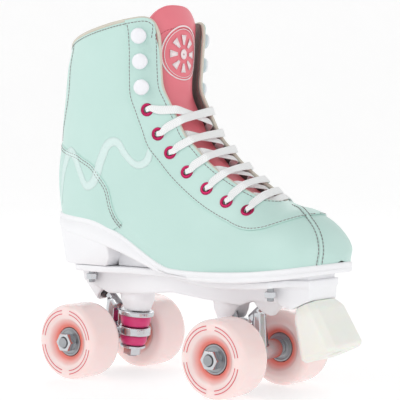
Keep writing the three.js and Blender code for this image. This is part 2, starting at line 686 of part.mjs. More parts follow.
// everything lower than a depth under the face that the sole rests on
const underSole = (depth) => below(soleUnder, -depth, 0).trimByPlane([0, 0, -1], depth - heelBlock.under);

function plateSolid() {
  const planPoints = [
    [plateBack, 18], [plateBack + 5, plateHalf.back - 3], [plateBack + 14, plateHalf.back],
    [-wheelbase / 2 + 12, plateHalf.back], [-34, plateHalf.middle], [14, plateHalf.middle],
    [wheelbase / 2 - 14, plateHalf.front - 2], [wheelbase / 2 + 34, plateHalf.front],
    [wheelbase / 2 + 44, plateHalf.nose + 6], [plateFront, plateHalf.nose],
  ];
  const plan = [...planPoints, ...planPoints.map(([x, y]) => [x, -y]).reverse()].reverse();
  const deck = cut(upright(plan, 10, tall).intersect(underSole(clearance)),
    underSole(clearance + deckThickness));
  const noseTop = heightAt(soleUnder, plateFront);
  const spine = across([
    [plateBack + 2, heelBlock.under - 3], [plateBack + 4, spineUnder + 6],
    [-wheelbase / 2 - 4, spineUnder + 1], [-wheelbase / 2 + 6, spineUnder - 3],
    [-wheelbase / 2 + 40, spineUnder - 1], [0, spineUnder + 2],
    [wheelbase / 2 - 40, spineUnder - 1], [wheelbase / 2 - 6, spineUnder - 3],
    [wheelbase / 2 + 4, spineUnder + 1], [wheelbase / 2 + 42, spineUnder + 1.5],
    [plateFront - 8, 44.5], [plateFront, noseTop - 9],
    [plateFront, tall], [plateBack + 2, tall],
  ].reverse(), spineHalf).intersect(underSole(clearance + 1));
  // the solid nose that carries the toe stop
  const noseSide = [[stopSeat[0] - 26, 48, noseHalf.back], [stopSeat[0] - 19, 38, noseHalf.back],
    [stopSeat[0] - 9, 36, noseHalf.back], [plateFront - 1, stopSeat[2] + 2.5, noseHalf.front]];
  const noseHigh = [[stopSeat[0] - 26, tall, noseHalf.back], [plateFront - 1, tall, noseHalf.front]];
  const nose = hull([...noseSide, ...noseHigh].flatMap(([x, z, half]) => [[x, half, z], [x, -half, z]]))
    .intersect(underSole(clearance));
  const bossLow = upperWasherHigh + clearance;
  const atBothEnds = (solids) => [1, -1].flatMap((endSign) => solids.map((solid) => {
    const atRear = solid.translate(-wheelbase / 2, 0, 0);
    return endSign > 0 ? atRear.mirror([1, 0, 0]) : atRear;
  }));
  const bosses = atBothEnds([
    onKingpin(turned([[0, bossLow], [11, bossLow], [13.5, bossLow + 9], [13.5, bossLow + 20],
      [0, bossLow + 20]])),
    onSteer(rod(pivotRadius + clearance + pivotCupWall + 4, pivotTip - cupDepth + 1.5, pivotTip + 10)),
  ]);
  const bores = atBothEnds([
    onKingpin(rod(kingpinDiameter / 2 + clearance, 0, upperWasherHigh + 12 + clearance, 16)),
    onSteer(rod(pivotRadius + 2 * clearance + pivotCupWall, 0, pivotTip + 2 * clearance + pivotCupWall)),
    onSteer(rod(14, 0, pivotTip - cupDepth, 24)),
    onKingpin(rod(cushionRadius + 4, -20, bossLow, 24)),
  ]);
  const boltHoles = boltPlaces.map(({ x, y }) =>
    placed(rod(boltDiameter / 2 + clearance, 30, 70, 14), [x, y, 0]));
  const stopHole = placed(rod(boltDiameter / 2 + clearance, -14, 9, 14), stopSeat, stopDown);
  const solid = join(deck, spine, nose, ...bosses).intersect(underSole(clearance));
  return cut(solid, ...bores, ...boltHoles, stopHole, stopSpace());
}

// ---------- toe stop ----------
// its axis runs down and forward from the slanted seat on the plate's nose
const stopDown = [0.413, 0, -0.911];
const stopSeat = [wheelbase / 2 + 52.5, 0, 40.5];

function stopFrame() {
  const down = new THREE.Vector3(...stopDown).normalize();
  const side = new THREE.Vector3(0, 1, 0);
  const ahead = side.clone().cross(down);
  return { down, side, ahead: ahead.x > 0 ? ahead : ahead.negate() };
}

function stopPoint(a, y, d) {
  const { down, ahead } = stopFrame();
  return new THREE.Vector3(...stopSeat).addScaledVector(ahead, a).add(new THREE.Vector3(0, y, 0))
    .addScaledVector(down, d);
}

function stopBlock(grow = 0, lift = 0) {
  const points = [];
  const layers = [[-lift, 7, -10, 18], [7, 10.5, -12.5, 21.5], [stopLength - 3, 14, -18, 22.5],
    [stopLength, 12.5, -16, 20.5]];
  for (const [d, front, back, half] of layers) {
    const corner = 5;
    const quarter = [[front, half - corner], [front - corner, half], [back + corner, half],
      [back, half - corner]];
    for (const [a, y] of [...quarter, ...quarter.map(([a, y]) => [a, -y])]) {
      points.push(stopPoint(a + Math.sign(a) * grow, y + Math.sign(y) * grow, d).toArray());
    }
  }
  return hull(points);
}

const stopSpace = () => stopBlock(0.2, clearance);
const stopHeadDepth = stopLength - 7;

function toeStopSolid() {
  const boltHole = placed(rod(boltDiameter / 2 + clearance, -5, stopLength + 5, 14), stopSeat, stopDown);
  const headPocket = placed(rod(boltHead.radius + clearance, stopHeadDepth - clearance, stopLength + 5, 14),
    stopSeat, stopDown);
  return cut(stopBlock(), boltHole, headPocket);
}

function stopBoltSolid() {
  return placed(join(rod(boltDiameter / 2, -12, stopHeadDepth + 1, 14),
    rod(boltHead.radius, stopHeadDepth, stopHeadDepth + 3, 14)), stopSeat, stopDown);
}

// ---------- lacing ----------

// a place on a facing: a distance back from its edge, and a height off the boot's surface
function onFacing(mirror, u, back, height) {
  const turn = turnBack(u, edgeTurn(u), back);
  return {
    at: mirrored(skin(u, turn, height), mirror),
    out: mirrored(normal(u, turn), mirror),
  };
}

function laceRoute() {
  const [left, right] = [1, -1];
  const visits = [[right, 1], [left, 2], [right, 3], [left, 4], [right, 5], [left, 6], [right, 7],
    [left, 7], [right, 6], [left, 5], [right, 4], [left, 3], [right, 2], [left, 1]];
  // whether each run between two visits lies over (1) or under (0) the facing at its start and its end
  const [over, under] = [[1, 1], [0, 0]];
  const runs = [[1, 0], over, under, over, under, over, [0, 1], under, over, under, over, under, over];
  const route = [];
  const push = (place, width) => route.push({ ...place, width });
  const tail = (mirror, reversed) => {
    const list = [[3.9, 17, -6.6], [3.6, 19, -8.5], [3.9, 20, -9], [4.4, 21, -9.5], [5, 22, -10],
      [5.8, 23, -10.5]];
    const places = list.map(([u, back, height]) => onFacing(mirror, u, back, height));
    return reversed ? places : places.reverse();
  };
  tail(right, false).forEach((place) => push(place, laceWidthInEyelet + 2));
  visits.forEach(([mirror, number], i) => {
    const u = eyeletStations[number - 1];
    const level = (outside) => (outside ? laceOver : laceUnder);
    const before = i > 0 ? level(runs[i - 1][1]) : laceUnder;
    const after = i < runs.length ? level(runs[i][0]) : laceUnder;
    if (i > 0) push(onFacing(mirror, u, eyeletInset - 3.2, before), laceWidth * 0.75);
    push(onFacing(mirror, u, eyeletInset, before), laceWidthInEyelet);
    push(onFacing(mirror, u, eyeletInset, (before + after) / 2), laceWidthInEyelet);
    push(onFacing(mirror, u, eyeletInset, after), laceWidthInEyelet);
    if (i === runs.length) return;
    push(onFacing(mirror, u, eyeletInset - 3.2, after), laceWidth * 0.75);
    const [nextMirror, nextNumber] = visits[i + 1];
    const nextU = eyeletStations[nextNumber - 1];
    const nextLevel = level(runs[i][1]);
    const uAt = (share) => u + (nextU - u) * share;
    const from = onFacing(mirror, uAt(0.3), -3.5, after);
    const to = onFacing(nextMirror, uAt(0.7), -3.5, nextLevel);
    push(onFacing(mirror, uAt(0.14), eyeletInset / 2, after), laceWidth);
    push(onFacing(mirror, uAt(0.24), 1, after), laceWidth);
    push(from, laceWidth);
    for (const share of [0.25, 0.5, 0.75]) {
      const out = from.out.clone().lerp(to.out, share).normalize();
      push({ at: from.at.clone().lerp(to.at, share), out }, laceWidth);
    }
    push(to, laceWidth);
    push(onFacing(nextMirror, uAt(0.76), 1, nextLevel), laceWidth);
    push(onFacing(nextMirror, uAt(0.86), eyeletInset / 2, nextLevel), laceWidth);
  });
  tail(left, true).forEach((place) => push(place, laceWidthInEyelet + 2));
  return route;
}

function laceSolid() {
  const route = laceRoute();
  const rings = route.map((p, i) => {
    const back = route[Math.max(i - 1, 0)].at;
    const ahead = route[Math.min(i + 1, route.length - 1)].at;
    const run = ahead.clone().sub(back).normalize();
    let wide = p.out.clone().cross(run);
    if (wide.length() < 0.35) {
      const later = route[Math.min(i + 3, route.length - 1)].at;
      wide = p.out.clone().cross(later.clone().sub(route[Math.max(i - 3, 0)].at).normalize());
    }
    wide.normalize();
    const thick = run.clone().cross(wide).normalize();
    const [w, h] = [p.width / 2, (laceThickness / 2) * (p.width < 6 ? 1.3 : 1)];
    return [[1, 1], [-1, 1], [-1, -1], [1, -1]].map(([a, b]) =>
      p.at.clone().addScaledVector(wide, a * w).addScaledVector(thick, b * h));
  });
  for (let i = 1; i < rings.length; i++) {
    // keep the ribbon's edges on the same side from ring to ring
    const straight = rings[i][0].distanceTo(rings[i - 1][0]) + rings[i][1].distanceTo(rings[i - 1][1]);
    const crossed = rings[i][2].distanceTo(rings[i - 1][0]) + rings[i][3].distanceTo(rings[i - 1][1]);
    if (crossed < straight) rings[i] = [rings[i][2], rings[i][3], rings[i][0], rings[i][1]];
  }
  const points = rings.flat();
  const faces = [];
  for (let i = 0; i < rings.length - 1; i++) {
    for (let j = 0; j < 4; j++) {
      const k = (j + 1) % 4;
      const [a, b, c, d] = [i * 4 + j, i * 4 + k, (i + 1) * 4 + k, (i + 1) * 4 + j];
      faces.push(a, b, c, a, c, d);
    }
  }
  const end = points.length - 4;
  faces.push(0, 2, 1, 0, 3, 2, end, end + 1, end + 2, end, end + 2, end + 3);
  return fromFaces(points, faces);
}

// ---------- hooks ----------
function hookSolid() {
  const shank = rod(2.4, clearance, 5, 8);
  const foot = rod(5, clearance, 1.5, 12);
  const cap = hull([...ringOf(12, 4.6, 4.4), ...ringOf(12, 5.4, 6), ...ringOf(12, 3.2, 7.4)]);
  return join(foot, shank, cap);
}

// ---------- assembly of the boot ----------
add('boot_upper', upper, mint);
add('boot_lining', liningBody, liningCloth);
add('left_eyestay', cut(eyestay(1), ...eyeletHoles), mint);
add('right_eyestay', cut(eyestay(-1), ...eyeletHoles), mint);
add('tongue', tongueSolid(), coral);

const holesAtBolts = (radius, segments) =>
  boltPlaces.map(({ x, y }) => placed(rod(radius, 0, tall, segments), [x, y, 0]));
const headHoles = holesAtBolts(boltHead.radius + clearance, 20);
const shankHoles = holesAtBolts(boltDiameter / 2 + clearance, 14);
add('sole_unit', cut(soleSolid(), ...shankHoles), whitePlastic);
add('insole_board', cut(layer(boardLow, boardHigh), ...shankHoles), board);
add('insole', cut(layer(insoleLow, insoleHigh), ...headHoles.map((hole, i) => {
  const { x } = boltPlaces[i];
  const top = heightAt(rimTop, x) + boardHigh + slopeRoom + boltHead.height + clearance;
  return hole.trimByPlane([0, 0, -1], -top);
})), foam);

boltPlaces.forEach(({ name, x, y }) => {
  const head = heightAt(rimTop, x) + boardHigh + slopeRoom;
  const under = Math.min(heelBlock.under, heightAt(soleUnder, x)) - clearance - deckThickness;
  const nutHigh = under - clearance - 2;
  const bolt = join(rod(boltDiameter / 2, nutHigh - 7, head + 1, 14),
    rod(boltHead.radius, head, head + boltHead.height, 16));
  add(`${name}_plate_bolt`, placed(bolt, [x, y, 0]), steel);
  const nut = hexagon(8, nutHigh - 4.5, nutHigh, boltDiameter + 2 * clearance);
  add(`${name}_plate_nut`, placed(nut, [x, y, 0]), chrome);
});

add('plate', plateSolid(), whitePlastic);
add('toe_stop', toeStopSolid(), stopWhite);
add('toe_stop_bolt', stopBoltSolid(), chrome);
add('lace', laceSolid(), laceWhite);

const hookShape = hookSolid();
for (const [side, mirror] of [['left', 1], ['right', -1]]) {
  hookStations.forEach((u, i) => {
    const turn = turnBack(u, edgeTurn(u), hookInset);
    const at = mirrored(skin(u, turn, clearance + eyestayWall), mirror).toArray();
    const out = mirrored(normal(u, turn), mirror).toArray();
    add(`${side}_hook_${i + 1}`, placed(hookShape, at, out), whitePlastic);
  });
}

// the origin is the middle of the object's footprint, on the ground
const box = new THREE.Box3().setFromObject(skate, true);
skate.position.x = -(box.min.x + box.max.x) / 2;
skate.updateMatrixWorld(true);

export default skate;
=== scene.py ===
# A high-cut quad roller skate: laced boot on a heeled sole, plate, two sprung trucks and four wheels.
# The boot's shapes are in millimetres from the point midway between the axles, X forward and Z up.
import math
import bmesh
import bpy
import numpy as np
from mathutils import Matrix, Vector

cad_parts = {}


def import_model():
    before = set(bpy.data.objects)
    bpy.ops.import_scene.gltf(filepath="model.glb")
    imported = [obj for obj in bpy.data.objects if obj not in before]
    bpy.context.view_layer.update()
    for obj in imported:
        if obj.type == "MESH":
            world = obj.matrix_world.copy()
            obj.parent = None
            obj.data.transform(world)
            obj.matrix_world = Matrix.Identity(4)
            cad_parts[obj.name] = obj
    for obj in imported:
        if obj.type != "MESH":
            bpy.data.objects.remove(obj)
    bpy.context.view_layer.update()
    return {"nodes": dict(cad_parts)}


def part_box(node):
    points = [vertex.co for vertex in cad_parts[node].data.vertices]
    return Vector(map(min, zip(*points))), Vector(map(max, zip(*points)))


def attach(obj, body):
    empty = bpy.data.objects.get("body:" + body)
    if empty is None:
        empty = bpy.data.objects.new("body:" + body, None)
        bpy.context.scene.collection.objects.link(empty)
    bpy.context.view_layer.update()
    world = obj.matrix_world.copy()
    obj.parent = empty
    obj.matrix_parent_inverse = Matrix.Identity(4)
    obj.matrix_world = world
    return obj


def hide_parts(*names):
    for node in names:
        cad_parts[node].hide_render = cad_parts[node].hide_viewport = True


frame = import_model()
nodes = frame["nodes"]

MM = 0.001


def centre(name):
    low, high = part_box(name)
    return (np.array(low) + np.array(high)) / 2


AXLES = (centre("front_left_wheel") + centre("rear_left_wheel")) / 2 / MM * [1, 0, 1]
WHEELBASE = (centre("front_left_wheel") - centre("rear_left_wheel"))[0] / MM
TRACK = 2 * centre("front_left_wheel")[1] / MM


def world(points):
    return (np.asarray(points, float) + AXLES) * MM


# ---------- camera, lights and floor ----------
def to_rotation(yaw, pitch, roll):
    level = Matrix.Rotation(math.radians(yaw), 4, "Z") @ Matrix.Rotation(math.radians(90 + pitch), 4, "X")
    return (level @ Matrix.Rotation(math.radians(roll), 4, "Z")).to_euler()


def area_light(name, place, aim, size, power):
    data = bpy.data.lights.new(name, "AREA")
    data.shape = "RECTANGLE"
    data.size, data.size_y = size
    data.energy = power
    light = linked(name, data)
    light.location = place
    light.rotation_euler = (Vector(aim) - Vector(place)).to_track_quat("-Z", "Y").to_euler()


def studio():
    camera = linked("camera", bpy.data.cameras.new("camera"))
    camera.data.sensor_width = 36
    camera.data.lens = 133.35
    camera.location = world((710, -889.9, 161.3))
    camera.rotation_euler = to_rotation(37.97, -2.56, 0.35)
    bpy.context.scene.camera = camera
    middle = (0, 0, 0.14)
    area_light("key", (-0.5, -1.2, 1.3), middle, (1.0, 1.0), 5)
    area_light("fill", (1.6, -0.3, 0.8), middle, (1.0, 1.0), 1.6)
    area_light("rim", (-0.9, 1.2, 1.1), middle, (1.0, 1.0), 3)
    world_data = bpy.data.worlds.new("studio")
    world_data.use_nodes = True
    background = world_data.node_tree.nodes["Background"]
    background.inputs["Color"].default_value = (1, 1, 1, 1)
    background.inputs["Strength"].default_value = 0.5
    bpy.context.scene.world = world_data
    bpy.context.scene.view_settings.view_transform = "Standard"


# ---------- materials ----------
def linear(colour):
    parts = [int(colour[i:i + 2], 16) / 255 for i in (1, 3, 5)]
    return (*[c / 12.92 if c <= 0.04045 else ((c + 0.055) / 1.055) ** 2.4 for c in parts], 1)


def add_node(tree, kind, inputs=None, **settings):
    made = tree.nodes.new(kind)
    for name, value in settings.items():
        setattr(made, name, value)
    for name, value in (inputs or {}).items():
        if isinstance(value, bpy.types.NodeSocket):
            tree.links.new(value, made.inputs[name])
        else:
            made.inputs[name].default_value = value
    return made


def new_material(name, **surface_values):
    made = bpy.data.materials.new(name)
    made.use_nodes = True
    tree = made.node_tree
    shader = tree.nodes["Principled BSDF"]
    for socket, value in surface_values.items():
        shader.inputs[socket.replace("_", " ")].default_value = value
    place = add_node(tree, "ShaderNodeTexCoord").outputs["Object"]
    return made, tree, shader, place


def mottled(tree, place, light, dark, size_mm, detail=3.0):
    noise = add_node(tree, "ShaderNodeTexNoise", {"Vector": place, "Scale": 1 / (size_mm * MM), "Detail": detail})
    return add_node(tree, "ShaderNodeMix", {"Factor": noise.outputs["Fac"], 6: linear(dark), 7: linear(light)},
                    data_type="RGBA").outputs[2]


def bumped(tree, shader, height, depth_mm, strength):
    bump = add_node(tree, "ShaderNodeBump", {"Height": height, "Distance": depth_mm * MM, "Strength": strength})
    tree.links.new(bump.outputs["Normal"], shader.inputs["Normal"])


def coated_leather(name, light, dark):
    # polyurethane-coated leather: smooth and satin, with a fine pebbled grain about a millimetre across
    made, tree, shader, place = new_material(name, Roughness=0.4, IOR=1.5, Coat_Weight=0.12, Coat_Roughness=0.3)
    tree.links.new(mottled(tree, place, light, dark, 60), shader.inputs["Base Color"])
    grain = add_node(tree, "ShaderNodeTexVoronoi", {"Vector": place, "Scale": 1 / (1.1 * MM), "Randomness": 0.9})
    wear = add_node(tree, "ShaderNodeTexNoise", {"Vector": place, "Scale": 1 / (35 * MM), "Detail": 4.0})
    rough = add_node(tree, "ShaderNodeMapRange", {"Value": wear.outputs["Fac"], "To Min": 0.34, "To Max": 0.5})
    tree.links.new(rough.outputs["Result"], shader.inputs["Roughness"])
    bumped(tree, shader, grain.outputs["Distance"], 0.12, 0.25)
    return made


def knitted_lining(name, light, dark):
    # brushed knit: dull, with close ribs about a millimetre apart
    made, tree, shader, place = new_material(name, Roughness=0.92, IOR=1.45, Sheen_Weight=0.35, Sheen_Roughness=0.5)
    tree.links.new(mottled(tree, place, light, dark, 3, 5.0), shader.inputs["Base Color"])
    ribs = add_node(tree, "ShaderNodeTexWave", {"Vector": place, "Scale": 1 / (3.2 * MM), "Distortion": 2.0})
    bumped(tree, shader, ribs.outputs["Fac"], 0.25, 0.5)
    return made


def woven_cotton(name, light, dark):
    # flat woven lace: matt white, its herringbone drawn 1.4 mm apart along the lace, its colour painted darker in
    # the weave's hollows as painted shade
    made, tree, shader, place = new_material(name, Roughness=0.85, IOR=1.5, Sheen_Weight=0.25)
    along = add_node(tree, "ShaderNodeUVMap", uv_map="weave").outputs["UV"]
    split = add_node(tree, "ShaderNodeSeparateXYZ", {"Vector": along})
    side = add_node(tree, "ShaderNodeMath", {0: split.outputs["Y"], 1: 0.5}, operation="SUBTRACT")
    away = add_node(tree, "ShaderNodeMath", {0: side.outputs[0]}, operation="ABSOLUTE")
    lean = add_node(tree, "ShaderNodeMath", {0: away.outputs[0], 1: 3.0, 2: split.outputs["X"]},
                    operation="MULTIPLY_ADD")
    turn = add_node(tree, "ShaderNodeMath", {0: lean.outputs[0], 1: 2 * math.pi / 1.4}, operation="MULTIPLY")
    yarn = add_node(tree, "ShaderNodeMath", {0: turn.outputs[0]}, operation="SINE")
    level = add_node(tree, "ShaderNodeMapRange", {"Value": yarn.outputs[0], "From Min": -1.0})
    # painted shade: the colour follows the weave's height and darkens in its hollows
    colour = add_node(tree, "ShaderNodeMix", {"Factor": level.outputs["Result"], 6: linear(dark), 7: linear(light)},
                      data_type="RGBA")
    tree.links.new(colour.outputs[2], shader.inputs["Base Color"])
    bumped(tree, shader, level.outputs["Result"], 0.18, 0.6)
    return made


def sewing_thread(name, light, dark):
    # spun polyester thread: dull, with a slight twist in its colour
    made, tree, shader, place = new_material(name, Roughness=0.75, IOR=1.5)
    tree.links.new(mottled(tree, place, light, dark, 1.5), shader.inputs["Base Color"])
    return made


def moulded_nylon(name, light, dark, roughness):
    # injection-moulded nylon: satin white, with a faint orange-peel skin
    made, tree, shader, place = new_material(name, Roughness=roughness, IOR=1.52)
    tree.links.new(mottled(tree, place, light, dark, 45), shader.inputs["Base Color"])
    peel = add_node(tree, "ShaderNodeTexNoise", {"Vector": place, "Scale": 1 / (1.6 * MM), "Detail": 2.0})
    bumped(tree, shader, peel.outputs["Fac"], 0.05, 0.18)
    return made


def cast_rubber(name, light, dark):
    # cast natural rubber: milky, softly lit from inside, with a dull skin
    made, tree, shader, place = new_material(name, Roughness=0.38, IOR=1.5, Subsurface_Weight=0.35,
                                             Subsurface_Scale=0.006)
    tree.links.new(mottled(tree, place, light, dark, 30), shader.inputs["Base Color"])
    skin_noise = add_node(tree, "ShaderNodeTexNoise", {"Vector": place, "Scale": 1 / (0.9 * MM), "Detail": 4.0})
    bumped(tree, shader, skin_noise.outputs["Fac"], 0.08, 0.3)
    return made


def cast_urethane(name, pale, core):
    # cast polyurethane tyre: translucent and glossy, with the coloured core glowing through near the hub
    made, tree, shader, place = new_material(name, Roughness=0.16, IOR=1.5, Subsurface_Weight=0.5,
                                             Subsurface_Scale=0.008, Coat_Weight=0.2)
    shader.inputs["Subsurface Radius"].default_value = (1.0, 0.45, 0.4)
    depth = add_node(tree, "ShaderNodeAttribute", attribute_name="core").outputs["Fac"]
    noise = add_node(tree, "ShaderNodeTexNoise", {"Vector": place, "Scale": 1 / (22 * MM), "Detail": 2.0})
    sway = add_node(tree, "ShaderNodeMath", {0: noise.outputs["Fac"], 1: 0.12, 2: depth}, operation="MULTIPLY_ADD")
    ramp = add_node(tree, "ShaderNodeValToRGB", {"Fac": sway.outputs[0]})
    stops = ramp.color_ramp.elements
    stops[0].position = 0.1
    stops[0].color = linear(pale)
    stops[1].position = 0.95
    stops[1].color = linear(core)
    tree.links.new(ramp.outputs["Color"], shader.inputs["Base Color"])
    return made


def bushing_urethane(name, light, dark):
    # poured urethane bushing: saturated, satin, slightly translucent
    made, tree, shader, place = new_material(name, Roughness=0.3, IOR=1.5, Subsurface_Weight=0.15,
                                             Subsurface_Scale=0.003)
    tree.links.new(mottled(tree, place, light, dark, 12), shader.inputs["Base Color"])
    return made


def plated_metal(name, light, dark, roughness, scratch_mm):
    # chrome or zinc plate on cast or turned steel: bright, with fine handling marks
    made, tree, shader, place = new_material(name, Metallic=1.0, Roughness=roughness)
    tree.links.new(mottled(tree, place, light, dark, 8), shader.inputs["Base Color"])
    marks = add_node(tree, "ShaderNodeTexNoise", {"Vector": place, "Scale": 1 / (scratch_mm * MM), "Detail": 6.0})
    rough = add_node(tree, "ShaderNodeMapRange", {"Value": marks.outputs["Fac"], "To Min": roughness * 0.7,
                                                  "To Max": roughness * 1.5})
    tree.links.new(rough.outputs["Result"], shader.inputs["Roughness"])
    bumped(tree, shader, marks.outputs["Fac"], 0.04, 0.15)
    return made


def pressed_board(name, light, dark):
    # pressed fibre board and cloth-covered foam: dull and speckled
    made, tree, shader, place = new_material(name, Roughness=0.9, IOR=1.45)
    tree.links.new(mottled(tree, place, light, dark, 1.2, 6.0), shader.inputs["Base Color"])
    fibres = add_node(tree, "ShaderNodeTexNoise", {"Vector": place, "Scale": 1 / (0.8 * MM), "Detail": 5.0})
    bumped(tree, shader, fibres.outputs["Fac"], 0.15, 0.4)
    return made


def floor_paint(name):
    # matt white studio paper, faintly lit from behind
    made, tree, shader, place = new_material(name, Roughness=0.7, Emission_Color=(1, 1, 1, 1),
                                             Emission_Strength=0.55)
    tree.links.new(mottled(tree, place, "#c2c2c2", "#bebebe", 120), shader.inputs["Base Color"])
    return made


MINT = coated_leather("mint_coated_leather", "#c9e6df", "#bcdcd4")
CORAL = coated_leather("coral_coated_leather", "#ef7f8b", "#e67481")
TAN = coated_leather("edge_binding_leather", "#dcd8cb", "#cbc4b5")
LINING = knitted_lining("brushed_knit_lining", "#84716b", "#6b5a58")
COTTON = woven_cotton("flat_woven_cotton", "#fbfbfb", "#e9ecec")
THREAD = sewing_thread("grey_polyester_thread", "#8f8384", "#776c6f")
CORAL_THREAD = sewing_thread("coral_polyester_thread", "#c9616e", "#b85563")
NYLON = moulded_nylon("injection_moulded_nylon", "#f7f7f9", "#f0f0f3", 0.36)
HOOK_NYLON = moulded_nylon("coated_hook_cap", "#f6f6fa", "#eeeef3", 0.3)
RUBBER = cast_rubber("cast_natural_rubber", "#f4f4ee", "#eaebe3")
TYRE = cast_urethane("cast_polyurethane_tyre", "#fbe2df", "#f07d70")
PIVOT_RUBBER = bushing_urethane("black_pivot_rubber", "#3d3537", "#2e282a")
PRINT = sewing_thread("tyre_pad_print", "#e5747b", "#df6b73")
BADGE_INK = sewing_thread("white_screen_print", "#fbeff0", "#f5e3e5")
PALE_PRINT = sewing_thread("pale_screen_print", "#dceeeb", "#d3e8e4")
BUSHING = bushing_urethane("poured_urethane_bushing", "#e0407f", "#cf2f70")
EYELET = plated_metal("enamelled_eyelet", "#c23364", "#aa2954", 0.32, 2.0)
CHROME = plated_metal("chrome_plated_steel", "#d9dbde", "#c3c6ca", 0.14, 1.5)
STEEL = plated_metal("zinc_plated_steel", "#b4b6b9", "#94979b", 0.3, 0.8)
BOARD = pressed_board("pressed_fibre_board", "#b79f7e", "#a58c6b")
FOAM = pressed_board("cloth_faced_foam", "#8f7e7b", "#7d6c6a")


# ---------- making pieces ----------
def keep(piece, body, material=None, replaced=()):
    if material:
        piece.data.materials.clear()
        piece.data.materials.append(material)
    for polygon in piece.data.polygons:
        polygon.use_smooth = True
    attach(piece, body)
    if replaced:
        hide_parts(*replaced)
    return piece


def linked(name, data):
    made = bpy.data.objects.new(name, data)
    bpy.context.collection.objects.link(made)
    return made


def piece_from(name, points, faces):
    mesh = bpy.data.meshes.new(name)
    mesh.from_pydata([tuple(p) for p in world(points)], [], faces)
    return linked(name, mesh)


def edit(piece, change):
    mesh = bmesh.new()
    mesh.from_mesh(piece.data)
    change(mesh)
    mesh.to_mesh(piece.data)
    mesh.free()
    piece.data.update()


def welded(piece, distance=0.01, outward=False):
    def change(mesh):
        bmesh.ops.remove_doubles(mesh, verts=mesh.verts, dist=distance * MM)
        bmesh.ops.dissolve_degenerate(mesh, edges=mesh.edges, dist=distance * MM / 10)
        if outward:
            bmesh.ops.recalc_face_normals(mesh, faces=mesh.faces)
    edit(piece, change)
    return piece


def apply_modifiers(piece):
    result = bpy.data.meshes.new_from_object(piece.evaluated_get(bpy.context.evaluated_depsgraph_get()))
    piece.modifiers.clear()
    piece.data = result
    return piece


def modified(piece, kind, **settings):
    modifier = piece.modifiers.new(kind.lower(), kind)
    for name, value in settings.items():
        setattr(modifier, name, value)
    return apply_modifiers(piece)


def thickened(piece, wall, edge=0.0):
    modified(piece, "SOLIDIFY", thickness=wall * MM, offset=-1, use_even_offset=False)
    if edge:
        modified(piece, "BEVEL", width=edge * MM, segments=2, limit_method="ANGLE", angle_limit=math.radians(50))
    return piece


def grid_faces(rows, columns, closed=False):
    faces = []
    for i in range(rows - 1):
        for j in range(columns if closed else columns - 1):
            k = (j + 1) % columns
            faces.append((i * columns + j, (i + 1) * columns + j, (i + 1) * columns + k, i * columns + k))
    return faces


def turned(name, profile, place, axis, segments=64):
    """A turned solid: the profile is [radius, height] points up the outside, closed on itself or on the axis."""
    profile = np.array(profile, float)
    turns = np.linspace(0, 2 * math.pi, segments, endpoint=False)
    out = Vector(axis).normalized()
    turn = np.array(Vector((0, 0, 1)).rotation_difference(out).to_matrix())
    points = [[r * math.cos(t), r * math.sin(t), h] for r, h in profile for t in turns]
    closed = profile[0][0] > 0
    rows = len(profile)
    faces = grid_faces(rows, segments, closed=True)
    if closed:
        last = (rows - 1) * segments
        faces += [(last + j, j, (j + 1) % segments, last + (j + 1) % segments) for j in range(segments)]
    piece = piece_from(name, np.array(points) @ turn.T + np.array(place), faces)
    return welded(piece, 0.002, outward=True)


def rounded(profile, radius, steps=3):
    """Rounds the corners of a profile; the ends stay as they are."""
    profile = [np.array(p, float) for p in profile]
    made = [profile[0]]
    for before, corner, after in zip(profile, profile[1:], profile[2:]):
        reach = min(radius, np.linalg.norm(before - corner) / 2, np.linalg.norm(after - corner) / 2)
        a = corner + (before - corner) / max(np.linalg.norm(before - corner), 1e-9) * reach
        b = corner + (after - corner) / max(np.linalg.norm(after - corner), 1e-9) * reach
        for t in np.linspace(0, 1, steps + 1):
            made.append((1 - t) ** 2 * a + 2 * t * (1 - t) * corner + t ** 2 * b)
    return [*made, profile[-1]]


def resmoothed(name, node, voxel, passes):
    """A soft-edged copy of a CAD node, as casting and moulding leave it."""
    piece = welded(linked(name, nodes[node].data.copy()), 0.02)
    modified(piece, "REMESH", mode="VOXEL", voxel_size=voxel * MM)
    modified(piece, "SMOOTH", factor=0.5, iterations=passes)
    return piece


# ---------- the last: the boot's form ----------
LAST = [  # back or bottom point, front or top point, half-width, where it is widest, squareness back and front
    ((-103, 226.5), (9, 252), 42, 0.5, 2.2, 2.3), ((-108.5, 209), (8, 233), 41, 0.5, 2.2, 2.3),
    ((-111.5, 188), (7, 214), 40, 0.5, 2.2, 2.3), ((-115, 168), (8, 199), 39, 0.5, 2.2, 2.2),
    ((-117, 150), (15, 187), 37.5, 0.5, 2.2, 2.2), ((-120.5, 134), (23.5, 175), 36.5, 0.5, 2.2, 2.2),
    ((-121.5, 119), (33.5, 164), 36, 0.48, 2.2, 2.1), ((-118, 99), (44, 155), 36, 0.46, 2.3, 2.1),
    ((-106, 79), (55.5, 145), 36, 0.44, 3, 2.1), ((-55, 66), (66.5, 134.5), 36.5, 0.4, 4, 2.1),
    ((-15, 58), (77, 125.5), 38, 0.36, 4.5, 2.1), ((20, 50), (86, 116.5), 40.5, 0.33, 5, 2.1),
    ((48, 47), (95, 111.3), 43, 0.3, 5, 2.1), ((72, 47), (104, 108.5), 43.5, 0.3, 5, 2.1),
    ((93, 48.5), (115, 106.5), 42.5, 0.3, 5, 2.1), ((110, 51), (127, 101), 39.5, 0.32, 4.5, 2.1),
    ((124, 54), (137, 91.5), 34, 0.35, 4, 2.1), ((134, 57.5), (142, 81), 25, 0.4, 3, 2.1),
    ((140, 61), (144, 72), 13, 0.5, 2.2, 2.1),
]
ABOVE_COLLAR = ((-100, 243), (-8, 264), 43, 0.5, 2.2, 3)
THROAT_GAP = [30, 27, 25.5, 24, 23, 22.5, 22.3, 21.5, 21, 20, 18.5, 14.5]
THROAT_END = 11.9
TOE = 18.0
COLLAR_STEP = 18.0      # millimetres of height to one station at the collar
